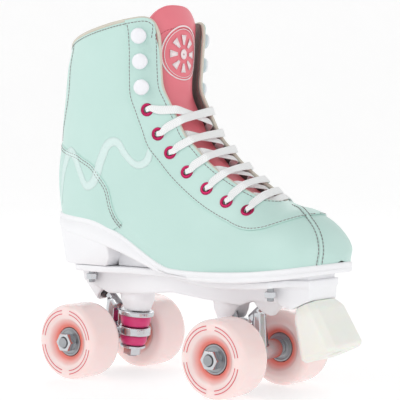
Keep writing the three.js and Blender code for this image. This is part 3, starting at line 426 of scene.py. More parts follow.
RIM_TOP = [(-126, 99), (-96, 97), (-66, 94), (-49, 89), (-35, 84), (-7, 69.5), (10, 62.6), (22, 61), (46, 61),
           (82, 62.8), (110, 65.5), (150, 71.5)]
SOLE_UNDER = [(-126, 88.5), (-50, 73.5), (0, 58.5), (20, 55), (46, 53.5), (80, 54.5), (108, 57.3), (130, 60.5),
              (150, 64)]
SOLE_OUTLINE = [(-121, 0), (-117.5, 13), (-108, 23), (-90, 31), (-60, 34), (-20, 35.5), (20, 39.5), (55, 45),
                (85, 46.5), (108, 43.5), (126, 35.5), (138.5, 22.5), (144, 9), (145, 0)]
HEEL_BOTTOM = 58.0
UPPER_WALL = 1.7
LINING_WALL = 0.9
TUCK_HEIGHT = 12.0      # how far above the rim the boot starts to draw in
TUCK_INSIDE = 1.3       # and how far inside the rim's edge it meets it


def spline(values, t):
    values = np.asarray(values, float)
    t = np.asarray(t, float)
    ends = np.concatenate([[2 * values[0] - values[1]], values, [2 * values[-1] - values[-2]]])
    i = np.clip(np.floor(t).astype(int), 0, len(values) - 2)
    f = t - i
    a, b, c, d = ends[i], ends[i + 1], ends[i + 2], ends[i + 3]
    return b + 0.5 * f * (c - a + f * (2 * a - 5 * b + 4 * c - d + f * (3 * (b - c) + d - a)))


def smooth_line(points, count):
    points = np.array(points, float)
    t = np.linspace(0, len(points) - 1, count)
    return np.stack([spline(points[:, k], t) for k in range(points.shape[1])], axis=-1)


def height_at(points, x):
    line = smooth_line(points, 120)
    return np.interp(x, line[:, 0], line[:, 1])


def outline(grow, count=180):
    """The sole's outline seen from above, from the heel round the right side to the toe and back."""
    half = smooth_line([(x, -y) for x, y in SOLE_OUTLINE], count)
    run = np.gradient(half, axis=0)
    run /= np.linalg.norm(run, axis=1, keepdims=True)
    run[0], run[-1] = (0, -1), (0, 1)
    side = np.stack([run[:, 1], -run[:, 0]], axis=-1)
    right = half + side * grow
    right[[0, -1], 1] = 0
    return np.concatenate([right, right[1:-1][::-1] * [1, -1]])


def outward(ring):
    run = np.roll(ring, -1, axis=0) - np.roll(ring, 1, axis=0)
    run /= np.linalg.norm(run, axis=1, keepdims=True)
    return np.stack([run[:, 1], -run[:, 0]], axis=-1)


TUCK_RING = outline(-TUCK_INSIDE)
TUCK_OUT = outward(TUCK_RING)


def tucked(points):
    """Draws the boot in just above the sole, so that it meets the rim's top inside its edge."""
    flat = np.array(points, float).reshape(-1, 3)
    rise = (flat[:, 2] - height_at(RIM_TOP, flat[:, 0])) / TUCK_HEIGHT
    near = np.nonzero(rise < 1)[0]
    if near.size:
        gaps = flat[near][:, None, :2] - TUCK_RING
        nearest = (gaps ** 2).sum(axis=-1).argmin(axis=1)
        out = TUCK_OUT[nearest]
        beyond = (gaps[np.arange(near.size), nearest] * out).sum(axis=-1)
        share = np.clip(1 - rise[near], 0, 1)
        share = share ** 2 * (3 - 2 * share)
        flat[near, :2] -= out * (np.clip(beyond, 0, None) * share)[:, None]
    return flat.reshape(np.shape(points))


TABLE = np.array([[*back, *front, half, widest, rear, fore]
                  for back, front, half, widest, rear, fore in [ABOVE_COLLAR, *LAST]], float).T


def section(u):
    return [spline(values, np.asarray(u, float) + 1) for values in TABLE]


def gap_at(u):
    last = len(THROAT_GAP) - 1
    u = np.asarray(u, float)
    closing = THROAT_GAP[last] * np.sqrt(np.clip(THROAT_END - u, 0, None) / (THROAT_END - last))
    return np.where(u <= last, spline(THROAT_GAP, np.clip(u, 0, last)), closing)


def surface(u, turn):
    """The boot's outside: turn goes from the back or the bottom, 0, round the left side to the front, pi."""
    bx, bz, fx, fz, half, widest, rear, fore = section(u)
    turn = np.asarray(turn, float)
    c, s = np.cos(turn), np.sin(turn)
    reach = np.abs(c) ** (2 / np.where(c < 0, fore, rear))
    t = np.where(c < 0, widest + (1 - widest) * reach, widest * (1 - reach))
    y = np.sign(s) * half * np.abs(s) ** (2 / np.where(c < 0, fore, rear))
    return tucked(np.stack([bx + (fx - bx) * t, y, bz + (fz - bz) * t], axis=-1))


def normal(u, turn):
    e = 0.02
    du = surface(u + e, turn) - surface(u - e, turn)
    dt = surface(u, turn + e) - surface(u, turn - e)
    n = np.cross(dt, du)
    return n / np.linalg.norm(n, axis=-1, keepdims=True)


def skin(u, turn, offset=0.0):
    return surface(u, turn) + normal(u, turn) * np.asarray(offset, float)[..., None]


def edge_turn(u):
    half, fore = section(u)[4], section(u)[7]
    return math.pi - np.arcsin(np.clip(gap_at(u) / half, 0, 0.98) ** (fore / 2))


def turn_back(u, distance):
    """The turn that lies a distance back from the facing's edge, or forward of it where that is negative."""
    edge = float(edge_turn(u))
    turns = np.linspace(edge - 2.3, math.pi, 260)
    steps = np.linalg.norm(np.diff(surface(np.full(260, u), turns), axis=0), axis=1)
    run = np.concatenate([[0], np.cumsum(steps)])
    return np.interp(np.interp(edge, turns, run) - np.asarray(distance, float), run, turns)


def floor_turn(u, depth=5.0):
    """Where a ring of the boot goes under the sole's rim; 0 where the whole ring is above it."""
    turns = np.linspace(0, 2.6, 400)
    ring = surface(np.full(400, u), turns)
    inside = ring[:, 2] < height_at(RIM_TOP, ring[:, 0]) - depth
    return turns[np.nonzero(inside)[0][-1]] if inside.any() else 0.0


def mirrored(points):
    return np.asarray(points) * [1, -1, 1]


# ---------- boot upper and lining ----------
CORNER = 11.0           # radius of the facings' top corners
COLLAR_RISE = 3.4       # how far the collar's line bows up


def collar_start(turns):
    """The station at which each column of the collar begins."""
    edge = float(edge_turn(0.0))
    ring = surface(np.zeros(len(turns)), turns)
    run = np.concatenate([[0], np.cumsum(np.linalg.norm(np.diff(ring, axis=0), axis=1))])
    away = run[-1] - run
    drop = CORNER - np.sqrt(np.clip(CORNER ** 2 - np.clip(CORNER - away, 0, None) ** 2, 0, None))
    bow = COLLAR_RISE * np.sin(math.pi * np.clip(turns / edge, 0, 1) ** 1.3)
    return (drop - bow) / COLLAR_STEP


def boot_half(offset, columns, us):
    rows = []
    start = collar_start(np.linspace(0, float(edge_turn(0.0)), columns))
    for u in us:
        low, high = floor_turn(u), float(edge_turn(u))
        turns = low + (high - low) * np.linspace(0, 1, columns)
        eased = u + start * np.clip(1 - u / 2.5, 0, 1)
        rows.append(skin(eased, turns, offset))
    tip = rows[-1].mean(axis=0)
    rows += [rows[-1] * (1 - s) + tip * s for s in (0.35, 0.7, 1.0)]
    return np.array(rows)


def boot_shell(name, offset, wall, edge, columns=44, step=0.15):
    us = np.unique(np.concatenate([np.arange(0, TOE + 0.01, step), THROAT_END - np.array([0.08, 0.04, 0.015, 0])]))
    left = boot_half(offset, columns, us)
    return two_sided(name, left, wall, edge)


def boot():
    upper = boot_shell("boot_quarters", 0, UPPER_WALL, 0.7)
    lining = boot_shell("quilted_lining", -(UPPER_WALL + 0.3), LINING_WALL, 0.0, 32, 0.3)
    return upper, lining


# ---------- overlays: facings, heel counter, back stay, toe seam ----------
def facing_points(u, distances, height):
    """Points on the left facing, each a distance back from its edge."""
    return skin(np.full(len(distances), u), turn_back(u, distances), height)


FACING_WIDTH = [24.2, 24.8, 25.3, 26.2, 27.8, 29.6, 31, 31.4, 31.2, 31, 30.6, 31]
FACING_SEAM_END = 14.6


def facing_width(u):
    last = len(FACING_WIDTH) - 1
    if u <= last:
        around = np.clip(u + np.array([-0.8, -0.4, 0, 0.4, 0.8]), 0, last)
        return float(np.mean(spline(FACING_WIDTH, around)))
    # past the throat the seam closes on the middle line in a half-ellipse
    reach = np.clip((u - last) / (FACING_SEAM_END - last), 0, 1)
    from_middle = (FACING_WIDTH[last] + THROAT_GAP[last]) * math.sqrt(1 - reach ** 2.4)
    return max(from_middle - float(gap_at(u)), 0.0)


def corner_start(distances):
    edge = np.clip(CORNER - distances, 0, None)
    drop = CORNER - np.sqrt(np.clip(CORNER ** 2 - edge ** 2, 0, None))
    turns = turn_back(0.0, distances)
    bow = COLLAR_RISE * np.sin(math.pi * np.clip(turns / float(edge_turn(0.0)), 0, 1) ** 1.3)
    return (drop - bow) / COLLAR_STEP


def facing_grid(height, columns=14):
    rows = []
    us = np.unique(np.concatenate([np.arange(0, FACING_SEAM_END, 0.12), np.array([THROAT_END - 0.03, THROAT_END]),
                                   FACING_SEAM_END - np.array([0.06, 0.03, 0.01])]))
    for u in us:
        distances = np.linspace(facing_width(u), 0, columns)
        start = corner_start(distances)
        eased = u + start * np.clip(1 - u / 2.5, 0, 1)
        rows.append(skin(eased, turn_back(u, distances), height))
    return np.array(rows)


def two_sided(name, grid, wall, edge):
    rows, columns = grid.shape[:2]
    faces = grid_faces(rows, columns)
    count = rows * columns
    points = np.concatenate([grid.reshape(-1, 3), mirrored(grid.reshape(-1, 3))])
    faces = [tuple(reversed(face)) for face in faces] + [tuple(i + count for i in face) for face in faces]
    return thickened(welded(piece_from(name, points, faces), 0.05), wall, edge)


COUNTER_EDGE = [(3.6, 0.0), (3.75, 0.3), (4.2, 0.69), (4.9, 1.1), (5.35, 1.24), (5.95, 1.39), (6.55, 1.47),
                (7.1, 1.53), (7.55, 1.55), (8.05, 1.54), (8.6, 1.5)]
TOE_SEAM = [(12.9, 3.14), (13.5, 3.08), (14.3, 2.93), (15.0, 2.83), (15.6, 2.73), (16.2, 2.57), (16.7, 2.36),
            (17.1, 2.05), (17.3, 1.7), (17.4, 1.45)]
BACK_STAY = [(0.05, 0.86), (1.0, 0.88), (2.0, 0.88), (3.0, 0.78), (3.8, 0.5)]


def counter_grid(height, columns=26):
    line = smooth_line(COUNTER_EDGE, 60)
    rows = []
    for share in np.linspace(0, 1, columns):
        us = line[:, 0]
        turns = line[:, 1] * share
        low = np.array([floor_turn(u, 3.0) for u in us])
        rows.append(skin(us, np.maximum(turns, np.minimum(low, line[:, 1])), height))
    return np.array(rows)[::-1]


def seam_line(pairs, height, count=160):
    line = smooth_line(pairs, count)
    us, turns = line[:, 0], line[:, 1]
    return skin(us, turns, height), normal(us, turns)


def shifted(line, out, by):
    """A line beside a line, on the same surface."""
    run = np.gradient(line, axis=0)
    side = np.cross(run, out)
    side /= np.linalg.norm(side, axis=1, keepdims=True)
    return line + side * by


# ---------- stitches ----------
def new_tree(name, sizes):
    """A geometry tree that takes a mesh, its named sizes and a material."""
    tree = bpy.data.node_groups.new(name, "GeometryNodeTree")
    face = tree.interface
    face.new_socket("Geometry", in_out="INPUT", socket_type="NodeSocketGeometry")
    for size in sizes:
        face.new_socket(size, in_out="INPUT", socket_type="NodeSocketFloat")
    face.new_socket("Material", in_out="INPUT", socket_type="NodeSocketMaterial")
    face.new_socket("Geometry", in_out="OUTPUT", socket_type="NodeSocketGeometry")
    return tree, add_node(tree, "NodeGroupInput").outputs


def finish_tree(tree, placed, material):
    """Makes the placed copies real and gives them their material."""
    solid = add_node(tree, "GeometryNodeRealizeInstances", {"Geometry": placed.outputs[0]})
    coloured = add_node(tree, "GeometryNodeSetMaterial", {"Geometry": solid.outputs[0], "Material": material})
    add_node(tree, "NodeGroupOutput", {"Geometry": coloured.outputs[0]})
    return tree


def grown(name, points, edges, outs, tree, values):
    """Runs a geometry tree on points that carry their outward directions, and leaves a plain mesh."""
    mesh = bpy.data.meshes.new(name)
    mesh.from_pydata([tuple(p) for p in points], edges, [])
    mesh.attributes.new("out", "FLOAT_VECTOR", "POINT").data.foreach_set("vector", np.array(outs).ravel())
    piece = linked(name, mesh)
    modifier = piece.modifiers.new(name, "NODES")
    modifier.node_group = tree
    for key, value in values.items():
        socket = next(s for s in tree.interface.items_tree if s.name == key and s.in_out == "INPUT")
        modifier[socket.identifier] = value
    return apply_modifiers(piece)


def stitch_tree():
    tree, given = new_tree("stitch_run", ("Pitch", "Length", "Thickness"))
    curve = add_node(tree, "GeometryNodeMeshToCurve", {"Mesh": given["Geometry"]})
    spaced = add_node(tree, "GeometryNodeResampleCurve", {"Curve": curve.outputs[0], "Length": given["Pitch"]},
                      mode="LENGTH")
    tangent = add_node(tree, "GeometryNodeInputTangent")
    out = add_node(tree, "GeometryNodeInputNamedAttribute", {"Name": "out"}, data_type="FLOAT_VECTOR")
    first = add_node(tree, "FunctionNodeAlignRotationToVector", {"Vector": tangent.outputs[0]}, axis="X")
    second = add_node(tree, "FunctionNodeAlignRotationToVector",
                      {"Rotation": first.outputs[0], "Vector": out.outputs[0]}, axis="Z", pivot_axis="X")
    ball = add_node(tree, "GeometryNodeMeshUVSphere", {"Segments": 8, "Rings": 5, "Radius": 0.5})
    size = add_node(tree, "ShaderNodeCombineXYZ", {"X": given["Length"], "Y": given["Thickness"],
                                                   "Z": given["Thickness"]})
    placed = add_node(tree, "GeometryNodeInstanceOnPoints",
                      {"Points": spaced.outputs[0], "Instance": ball.outputs[0], "Rotation": second.outputs[0],
                       "Scale": size.outputs[0]})
    return finish_tree(tree, placed, given["Material"])


def stitched(name, runs, material, pitch=2.8, length=2.7, thickness=0.62):
    """Rows of stitches, each run a line of points with the surface's outward directions."""
    points, outs, edges = [], [], []
    for line, out in runs:
        first = len(points)
        points += list(world(line))
        outs += list(out)
        edges += [(first + i, first + i + 1) for i in range(len(line) - 1)]
    values = {"Pitch": pitch * MM, "Length": length * MM, "Thickness": thickness * MM, "Material": material}
    return keep(grown(name, points, edges, outs, STITCHES, values), "root")


STITCHES = stitch_tree()
EDGE_MARGIN = 2.6       # from the facing's edge to its row of stitches


def stitch_boot():
    above = 0.1
    runs = []
    grey = []
    edge_us = np.linspace(0.75, THROAT_END - 0.05, 200)
    edge_line = np.array([facing_points(u, np.array([EDGE_MARGIN]), FACING_TOP)[0] for u in edge_us])
    edge_out = np.array([normal(u, turn_back(u, EDGE_MARGIN)) for u in edge_us])
    grey.append((edge_line, edge_out))
    # round the facing's top corner and along the collar to the back
    turns = np.linspace(float(edge_turn(0.0)), 0.0, 140)
    start = collar_start(turns[::-1])[::-1]
    collar_us = start + 2.8 / COLLAR_STEP
    collar_turns = np.minimum(turns, turn_back(0.0, EDGE_MARGIN))
    over_facing = turns > float(turn_back(0.0, FACING_WIDTH[0]))
    heights = np.where(over_facing, FACING_TOP, above)
    grey.append((skin(collar_us, collar_turns, heights), normal(collar_us, collar_turns)))
    # the facing's outer seam, closing past the throat
    seam_us = np.linspace(0.15, FACING_SEAM_END - 0.02, 260)
    widths = np.array([facing_width(u) - 1.3 for u in seam_us])
    seam_turns = np.array([float(turn_back(u, w)) for u, w in zip(seam_us, widths)])
    seam_turns = np.minimum(seam_turns, math.pi)
    grey.append((skin(seam_us, seam_turns, FACING_TOP), normal(seam_us, seam_turns)))
    # the heel counter's double row and the back stay
    line, out = seam_line(COUNTER_EDGE, COUNTER_TOP)
    grey.append((shifted(line, out, -1.4), out))
    grey.append((shifted(line, out, -3.6), out))
    line, out = seam_line(BACK_STAY, above)
    grey.append((line, out))
    for line, out in grey:
        runs += [(line, out), (mirrored(line), mirrored(out))]
    # the toe seam lies on the outer side only
    line, out = toe_seam_line(0.1, 160)
    runs += [(shifted(line, out, 2.1), out), (shifted(line, out, -2.1), out)]
    stitched("boot_stitches", runs, THREAD)


def toe_seam_line(height, count):
    """The seam runs over the facing's tip, then down the outer side of the toe."""
    pairs = smooth_line([(u, 2 * math.pi - t) for u, t in TOE_SEAM], count)
    over = np.clip((FACING_SEAM_END + 0.15 - pairs[:, 0]) / 0.3, 0, 1) * FACING_TOP
    return skin(pairs[:, 0], pairs[:, 1], height + over), normal(pairs[:, 0], pairs[:, 1])


def toe_welt():
    """The folded ridge between the toe seam's two rows of stitches."""
    count = 120
    line, out = toe_seam_line(0.0, count)
    ridge = [(-1.3, -0.5), (-1.1, 0.35), (-0.5, 0.7), (0.5, 0.7), (1.1, 0.35), (1.3, -0.5)]
    rows = [shifted(line, out, a) + out * b for a, b in ridge]
    grid = np.array(rows)
    last = (len(ridge) - 1) * count
    faces = grid_faces(len(ridge), count)
    faces += [(last + i, i, i + 1, last + i + 1) for i in range(count - 1)]
    starts = [i * count for i in range(len(ridge))]
    faces += [tuple(starts), tuple(start + count - 1 for start in reversed(starts))]
    piece = welded(piece_from("toe_seam_welt", grid.reshape(-1, 3), faces), 0.001, outward=True)
    keep(piece, "root", MINT)


# ---------- eyelets and hooks ----------
EYELET_STATIONS = [4.05, 5.5, 6.75, 8.0, 9.05, 10.15, 11.25]
EYELET_INSET = [17.5, 17.8, 18.0, 17.6, 16.8, 16.6, 17.4]
HOOK_STATIONS = [0.65, 1.65, 2.8]
HOOK_INSET = 14.2
FACING_LOW = 0.15
FACING_TOP = 1.2
COUNTER_TOP = 0.75
EYELET_HOLE = 5.0
EYELET_RING, EYELET_FLANGE, EYELET_LIFT = 3.75, 1.3, 0.1


def swept(name, line, radius, sides=8):
    """A round tube along a line, closed at both ends."""
    run = np.gradient(line, axis=0)
    run /= np.linalg.norm(run, axis=1, keepdims=True)
    first = np.cross(run, [0.1, 1, 0.05])
    first /= np.linalg.norm(first, axis=1, keepdims=True)
    second = np.cross(run, first)
    turns = np.linspace(0, 2 * math.pi, sides, endpoint=False)
    points = (line[:, None] + first[:, None] * (radius * np.cos(turns))[:, None]
              + second[:, None] * (radius * np.sin(turns))[:, None])
    count = len(line)
    last = (count - 1) * sides
    faces = [*grid_faces(count, sides, closed=True), tuple(range(sides)), tuple(last + j for j in range(sides))]
    return welded(piece_from(name, points.reshape(-1, 3), faces), 0.001, outward=True)


def edge_bindings():
    """The pale folded edge round the collar and down both sides of the throat."""
    turns = np.linspace(0, float(edge_turn(0.0)), 150)
    start = collar_start(turns)
    collar = skin(start, turns, -UPPER_WALL / 2)
    us = np.linspace(0.75, THROAT_END - 0.02, 150)
    middle = (FACING_TOP - UPPER_WALL) / 2
    throat = np.array([skin(u, float(edge_turn(u)), middle) for u in us])
    half = np.concatenate([collar[start < 0.5], throat])
    whole = np.concatenate([mirrored(half)[::-1], half[1:]])
    length = np.concatenate([[0], np.cumsum(np.linalg.norm(np.diff(whole, axis=0), axis=1))])
    even = np.arange(0, length[-1], 2.0)
    line = np.stack([np.interp(even, length, whole[:, k]) for k in range(3)], axis=-1)
    for _ in range(3):
        line[1:-1] = (line[:-2] + 2 * line[1:-1] + line[2:]) / 4
    keep(swept("edge_binding", line, 1.45, 10), "root", TAN)


def slid(u, turn, move):
    """The station and turn reached by moving over the boot's surface by a small vector."""
    e = 0.02
    du = (surface(u + e, turn) - surface(u - e, turn)) / (2 * e)
    dt = (surface(u, turn + e) - surface(u, turn - e)) / (2 * e)
    share = np.linalg.lstsq(np.stack([du, dt], axis=-1), move, rcond=None)[0]
    return u + share[0], turn + share[1]


# a plain wave, printed on each side of the ankle: [station, turn, width]
WAVE = [(6.9, 0.62, 1.5), (6.2, 0.74, 5), (5.3, 0.86, 7.5), (4.75, 0.98, 8), (5.1, 1.1, 7), (6.0, 1.19, 6),
        (6.75, 1.27, 6.5), (6.7, 1.4, 8), (5.9, 1.5, 8), (5.2, 1.59, 7.5), (5.25, 1.7, 6.5), (6.1, 1.78, 5.5),
        (6.75, 1.86, 5.5), (6.75, 1.97, 6.5), (6.2, 2.06, 5.5), (5.75, 2.14, 3), (5.6, 2.2, 1)]


def side_print():
    route = smooth_line(WAVE, 150)
    counter_edge = smooth_line(COUNTER_EDGE, 60)
    centres = skin(route[:, 0], route[:, 1])
    outs = normal(route[:, 0], route[:, 1])
    run = np.gradient(centres, axis=0)
    side = np.cross(outs, run)
    side /= np.linalg.norm(side, axis=1, keepdims=True)
    columns = np.linspace(-0.5, 0.5, 5)
    points = []
    for (u, turn, width), across in zip(route, side):
        for share in columns:
            at = slid(u, turn, across * width * share)
            over_counter = at[1] < np.interp(at[0], counter_edge[:, 0], counter_edge[:, 1], left=-1, right=-1)
            points.append(skin(*at, 0.12 + COUNTER_TOP * over_counter))
    points = np.array(points)
    faces = grid_faces(len(route), len(columns))
    count = len(points)
    piece = piece_from("side_print", np.concatenate([points, mirrored(points)]),
                       faces + [tuple(i + count for i in reversed(face)) for face in faces])
    modified(piece, "SOLIDIFY", thickness=0.1 * MM, offset=0)
    keep(piece, "root", PALE_PRINT)


def on_facing(side, u, back, height):
    """A place on a facing and its outward direction; side is 1 for the left and -1 for the right."""
    turn = float(turn_back(u, back))
    at, out = skin(u, turn, height), normal(u, turn)
    return (at, out) if side > 0 else (mirrored(at), mirrored(out))


def eyelet_places():
    return [on_facing(side, u, inset, FACING_TOP) for side in (1, -1)
            for u, inset in zip(EYELET_STATIONS, EYELET_INSET)]


def eyelet_tree():
    """A turned ring on every point, its flange outwards."""
    tree, given = new_tree("eyelets", ("Ring", "Flange"))
    ring = add_node(tree, "GeometryNodeCurvePrimitiveCircle", {"Radius": given["Ring"], "Resolution": 40})
    rim = add_node(tree, "GeometryNodeCurvePrimitiveCircle", {"Radius": given["Flange"], "Resolution": 12})
    tube = add_node(tree, "GeometryNodeCurveToMesh", {"Curve": ring.outputs[0], "Profile Curve": rim.outputs[0]})
    flat = add_node(tree, "GeometryNodeTransform", {"Geometry": tube.outputs[0], "Scale": (1, 1, 0.62)})
    out = add_node(tree, "GeometryNodeInputNamedAttribute", {"Name": "out"}, data_type="FLOAT_VECTOR")
    turn = add_node(tree, "FunctionNodeAlignRotationToVector", {"Vector": out.outputs[0]}, axis="Z")
    placed = add_node(tree, "GeometryNodeInstanceOnPoints",
                      {"Points": given["Geometry"], "Instance": flat.outputs[0], "Rotation": turn.outputs[0]})
    return finish_tree(tree, placed, given["Material"])


def eyelets():
    places = eyelet_places()
    points = [world(at + out * EYELET_LIFT) for at, out in places]
    outs = [out for _, out in places]
    values = {"Ring": EYELET_RING * MM, "Flange": EYELET_FLANGE * MM, "Material": EYELET}
    keep(grown("eyelets", points, [], outs, eyelet_tree(), values), "root")


def hooks():
    cap = rounded([(0.01, 0.0), (5.2, 0.0), (5.2, 1.2), (2.6, 1.5), (2.6, 3.6), (5.4, 3.9), (6.1, 4.8), (5.6, 6.2),
                   (3.4, 7.3), (0.01, 7.6)], 0.6)
    for side, label in ((1, "left"), (-1, "right")):
        for number, u in enumerate(HOOK_STATIONS, 1):
            at, out = on_facing(side, u, HOOK_INSET, FACING_TOP)
            piece = turned(f"{label}_speed_hook_{number}", [(0, 0), *cap, (0, 7.6)], at, out, 40)
            keep(piece, "root", HOOK_NYLON, [f"{label}_hook_{number}"])


def punched(piece, radius):
    """Cuts the eyelets' holes through a piece."""
    cutters = []
    for i, (at, out) in enumerate(eyelet_places()):
        profile = [(0, -9), (radius, -9), (radius, 3), (0, 3)]
        cutters.append(turned(f"punch_{i}", profile, at, out, 20))
    whole = bmesh.new()
    for cutter in cutters:
        whole.from_mesh(cutter.data)
    joined = bpy.data.meshes.new("punches")
    whole.to_mesh(joined)
    whole.free()
    tool = linked("punches", joined)
    modified(piece, "BOOLEAN", object=tool, operation="DIFFERENCE", solver="EXACT")
    for cutter in [*cutters, tool]:
        bpy.data.objects.remove(cutter)
    return piece


# ---------- lace ----------
LACE_WIDTH = 6.6
LACE_THICKNESS = 1.2
LACE_IN_EYELET = 3.8
LACE_OVER = FACING_TOP + 0.95
LACE_UNDER = -(UPPER_WALL + LINING_WALL + 1.3)


def lace_route():
    left, right = 1, -1
    visits = [(right, 1), (left, 2), (right, 3), (left, 4), (right, 5), (left, 6), (right, 7),
              (left, 7), (right, 6), (left, 5), (right, 4), (left, 3), (right, 2), (left, 1)]
    over, under = (1, 1), (0, 0)
    runs = [(1, 0), over, under, over, under, over, (0, 1), under, over, under, over, under, over]
    tail = [(3.9, 17, -6.6), (3.6, 19, -8.5), (3.9, 20, -9), (4.4, 21, -9.5), (5, 22, -10), (5.8, 23, -10.5)]
    route = [(*on_facing(right, *place), LACE_IN_EYELET + 1) for place in reversed(tail)]

    def level(outside):
        return LACE_OVER if outside else LACE_UNDER

    for i, (side, number) in enumerate(visits):
        u, inset = EYELET_STATIONS[number - 1], EYELET_INSET[number - 1]
        before = level(runs[i - 1][1]) if i else LACE_UNDER
        after = level(runs[i][0]) if i < len(runs) else LACE_UNDER
        if i:
            route.append((*on_facing(side, u, inset - 3.6, before + 0.5 * (before > 0)), LACE_WIDTH * 0.72))
        for height in (before, (before + after) / 2, after):
            route.append((*on_facing(side, u, inset, height), LACE_IN_EYELET))
        if i == len(runs):
            break
        route.append((*on_facing(side, u, inset - 3.6, after + 0.5 * (after > 0)), LACE_WIDTH * 0.72))
        next_side, next_number = visits[i + 1]
        next_u = EYELET_STATIONS[next_number - 1]
        next_level = level(runs[i][1])

        def between(share):
            return u + (next_u - u) * share

        route.append((*on_facing(side, between(0.14), inset / 2, after), LACE_WIDTH))
        route.append((*on_facing(side, between(0.24), 1, after), LACE_WIDTH))
        start = on_facing(side, between(0.3), -3.5, after)
        end = on_facing(next_side, between(0.7), -3.5, next_level)
        route.append((*start, LACE_WIDTH))
        for share in (0.25, 0.5, 0.75):
            at = start[0] + (end[0] - start[0]) * share
            out = start[1] + (end[1] - start[1]) * share
            arch = 0.9 * math.sin(math.pi * share)
            out = out / np.linalg.norm(out)
            route.append((at + out * arch, out, LACE_WIDTH))
        route.append((*end, LACE_WIDTH))
        route.append((*on_facing(next_side, between(0.76), 1, next_level), LACE_WIDTH))
        route.append((*on_facing(next_side, between(0.86), EYELET_INSET[next_number - 1] / 2, next_level),
                      LACE_WIDTH))
    route += [(*on_facing(left, *place), LACE_IN_EYELET + 1) for place in tail]
    return route


def lace():
    route = lace_route()
    at = np.array([p[0] for p in route])
    out = np.array([p[1] for p in route])
    width = np.array([p[2] for p in route])
    count = len(route)
    wide = np.zeros_like(at)
    for i in range(count):
        run = at[min(i + 1, count - 1)] - at[max(i - 1, 0)]
        side = np.cross(out[i], run / np.linalg.norm(run))
        if np.linalg.norm(side) < 0.35:
            run = at[min(i + 3, count - 1)] - at[max(i - 3, 0)]
            side = np.cross(out[i], run / np.linalg.norm(run))
        side /= np.linalg.norm(side)
        wide[i] = -side if i and side @ wide[i - 1] < 0 else side
    fine = np.linspace(0, count - 1, (count - 1) * 7 + 1)
    line = np.stack([spline(at[:, k], fine) for k in range(3)], axis=-1)
    wide = np.stack([spline(wide[:, k], fine) for k in range(3)], axis=-1)
    width = spline(width, fine)
    run = np.gradient(line, axis=0)
    run /= np.linalg.norm(run, axis=1, keepdims=True)
    wide -= run * (wide * run).sum(axis=1, keepdims=True)
    wide /= np.linalg.norm(wide, axis=1, keepdims=True)
    thick = np.cross(run, wide)
    along = np.concatenate([[0], np.cumsum(np.linalg.norm(np.diff(line, axis=0), axis=1))])
    # a flat section with rounded edges, thicker where the eyelets gather it
    turns = np.linspace(0, 2 * math.pi, 16, endpoint=False)
    a = np.sign(np.cos(turns)) * np.abs(np.cos(turns)) ** 0.6
    b = np.sign(np.sin(turns)) * np.abs(np.sin(turns)) ** 0.75
    height = LACE_THICKNESS * np.clip(1 + (LACE_WIDTH - width) * 0.13, 1, 1.7)
    points = (line[:, None] + wide[:, None] * (a * width[:, None] / 2)[..., None]
              + thick[:, None] * (b * height[:, None] / 2)[..., None])
    rows, columns = points.shape[:2]
    faces = grid_faces(rows, columns, closed=True)
    last = (rows - 1) * columns
    faces += [tuple(range(columns)), tuple(last + j for j in reversed(range(columns)))]
    piece = piece_from("woven_lace", points.reshape(-1, 3), faces)
    across = (a + 1) / 2
    weave = piece.data.uv_layers.new(name="weave")
    for loop in piece.data.loops:
        i, j = divmod(loop.vertex_index, columns)
        weave.data[loop.index].uv = (along[i], across[j])
    edit(piece, lambda mesh: bmesh.ops.recalc_face_normals(mesh, faces=mesh.faces))
    keep(piece, "root", COTTON, ["lace"])


# ---------- tongue ----------
TONGUE_TOP = -0.62
TONGUE_END = 11.5
TONGUE_WALL = 5.0
TONGUE_LAP = 7.0
TONGUE_FREE = 3.9       # the station from which the laces hold it down
TONGUE_PROUD = 1.2
LACED = LACE_UNDER - LACE_THICKNESS / 2 - 0.9


def tongue_frames():
    """At stations down the throat: the edge's place, the way out, the tongue's half-width and its two depths."""
    rows = []
    for u in np.linspace(0, TONGUE_END, 70):
        turn = float(edge_turn(u))
        edge = surface(u, turn) * [1, 0, 1]
        run = surface(u + 0.05, float(edge_turn(u + 0.05))) * [1, 0, 1] - edge
        run /= np.linalg.norm(run)
        out = np.array([-run[2], 0, run[0]])
        side = skin(u, float(turn_back(u, TONGUE_LAP)), LACED - 0.3)
        free = np.clip((TONGUE_FREE - u) / 1.2, 0, 1)
        middle = LACED + (TONGUE_PROUD - LACED) * free * free * (3 - 2 * free)
        rows.append([u, edge[0], edge[2], out[0], out[2], side[1], (side * [1, 0, 1] - edge) @ out, middle])
    return np.array(rows).T


TONGUE_FRAMES = tongue_frames()


def tongue_point(u, s, height):
    """Across the tongue from s = -1 on the right to 1 on the left, at a height off its outer face."""
    x, z, out_x, out_z, half, side, middle = [np.interp(max(u, 0.0), TONGUE_FRAMES[0], row)
                                              for row in TONGUE_FRAMES[1:]]
    depth = side + (middle - side) * (1 - abs(s) ** 2.2) + height
    above = min(u, 0.0) * COLLAR_STEP
    return np.array([x + out_z * above + out_x * depth, half * s, z - out_x * above + out_z * depth])


def tongue_top(s):
    """The tongue's top edge, with both its corners rounded down."""
    return TONGUE_TOP + 0.75 * abs(s) ** 3.6


def tongue_grid(height, count, columns):
    rows = []
    for t in np.linspace(0, 1, count):
        row = []
        for s in np.linspace(-1, 1, columns):
            top = tongue_top(s)
            row.append(tongue_point(top + (TONGUE_END - top) * t, s, height))
        rows.append(row)
    return np.array(rows)


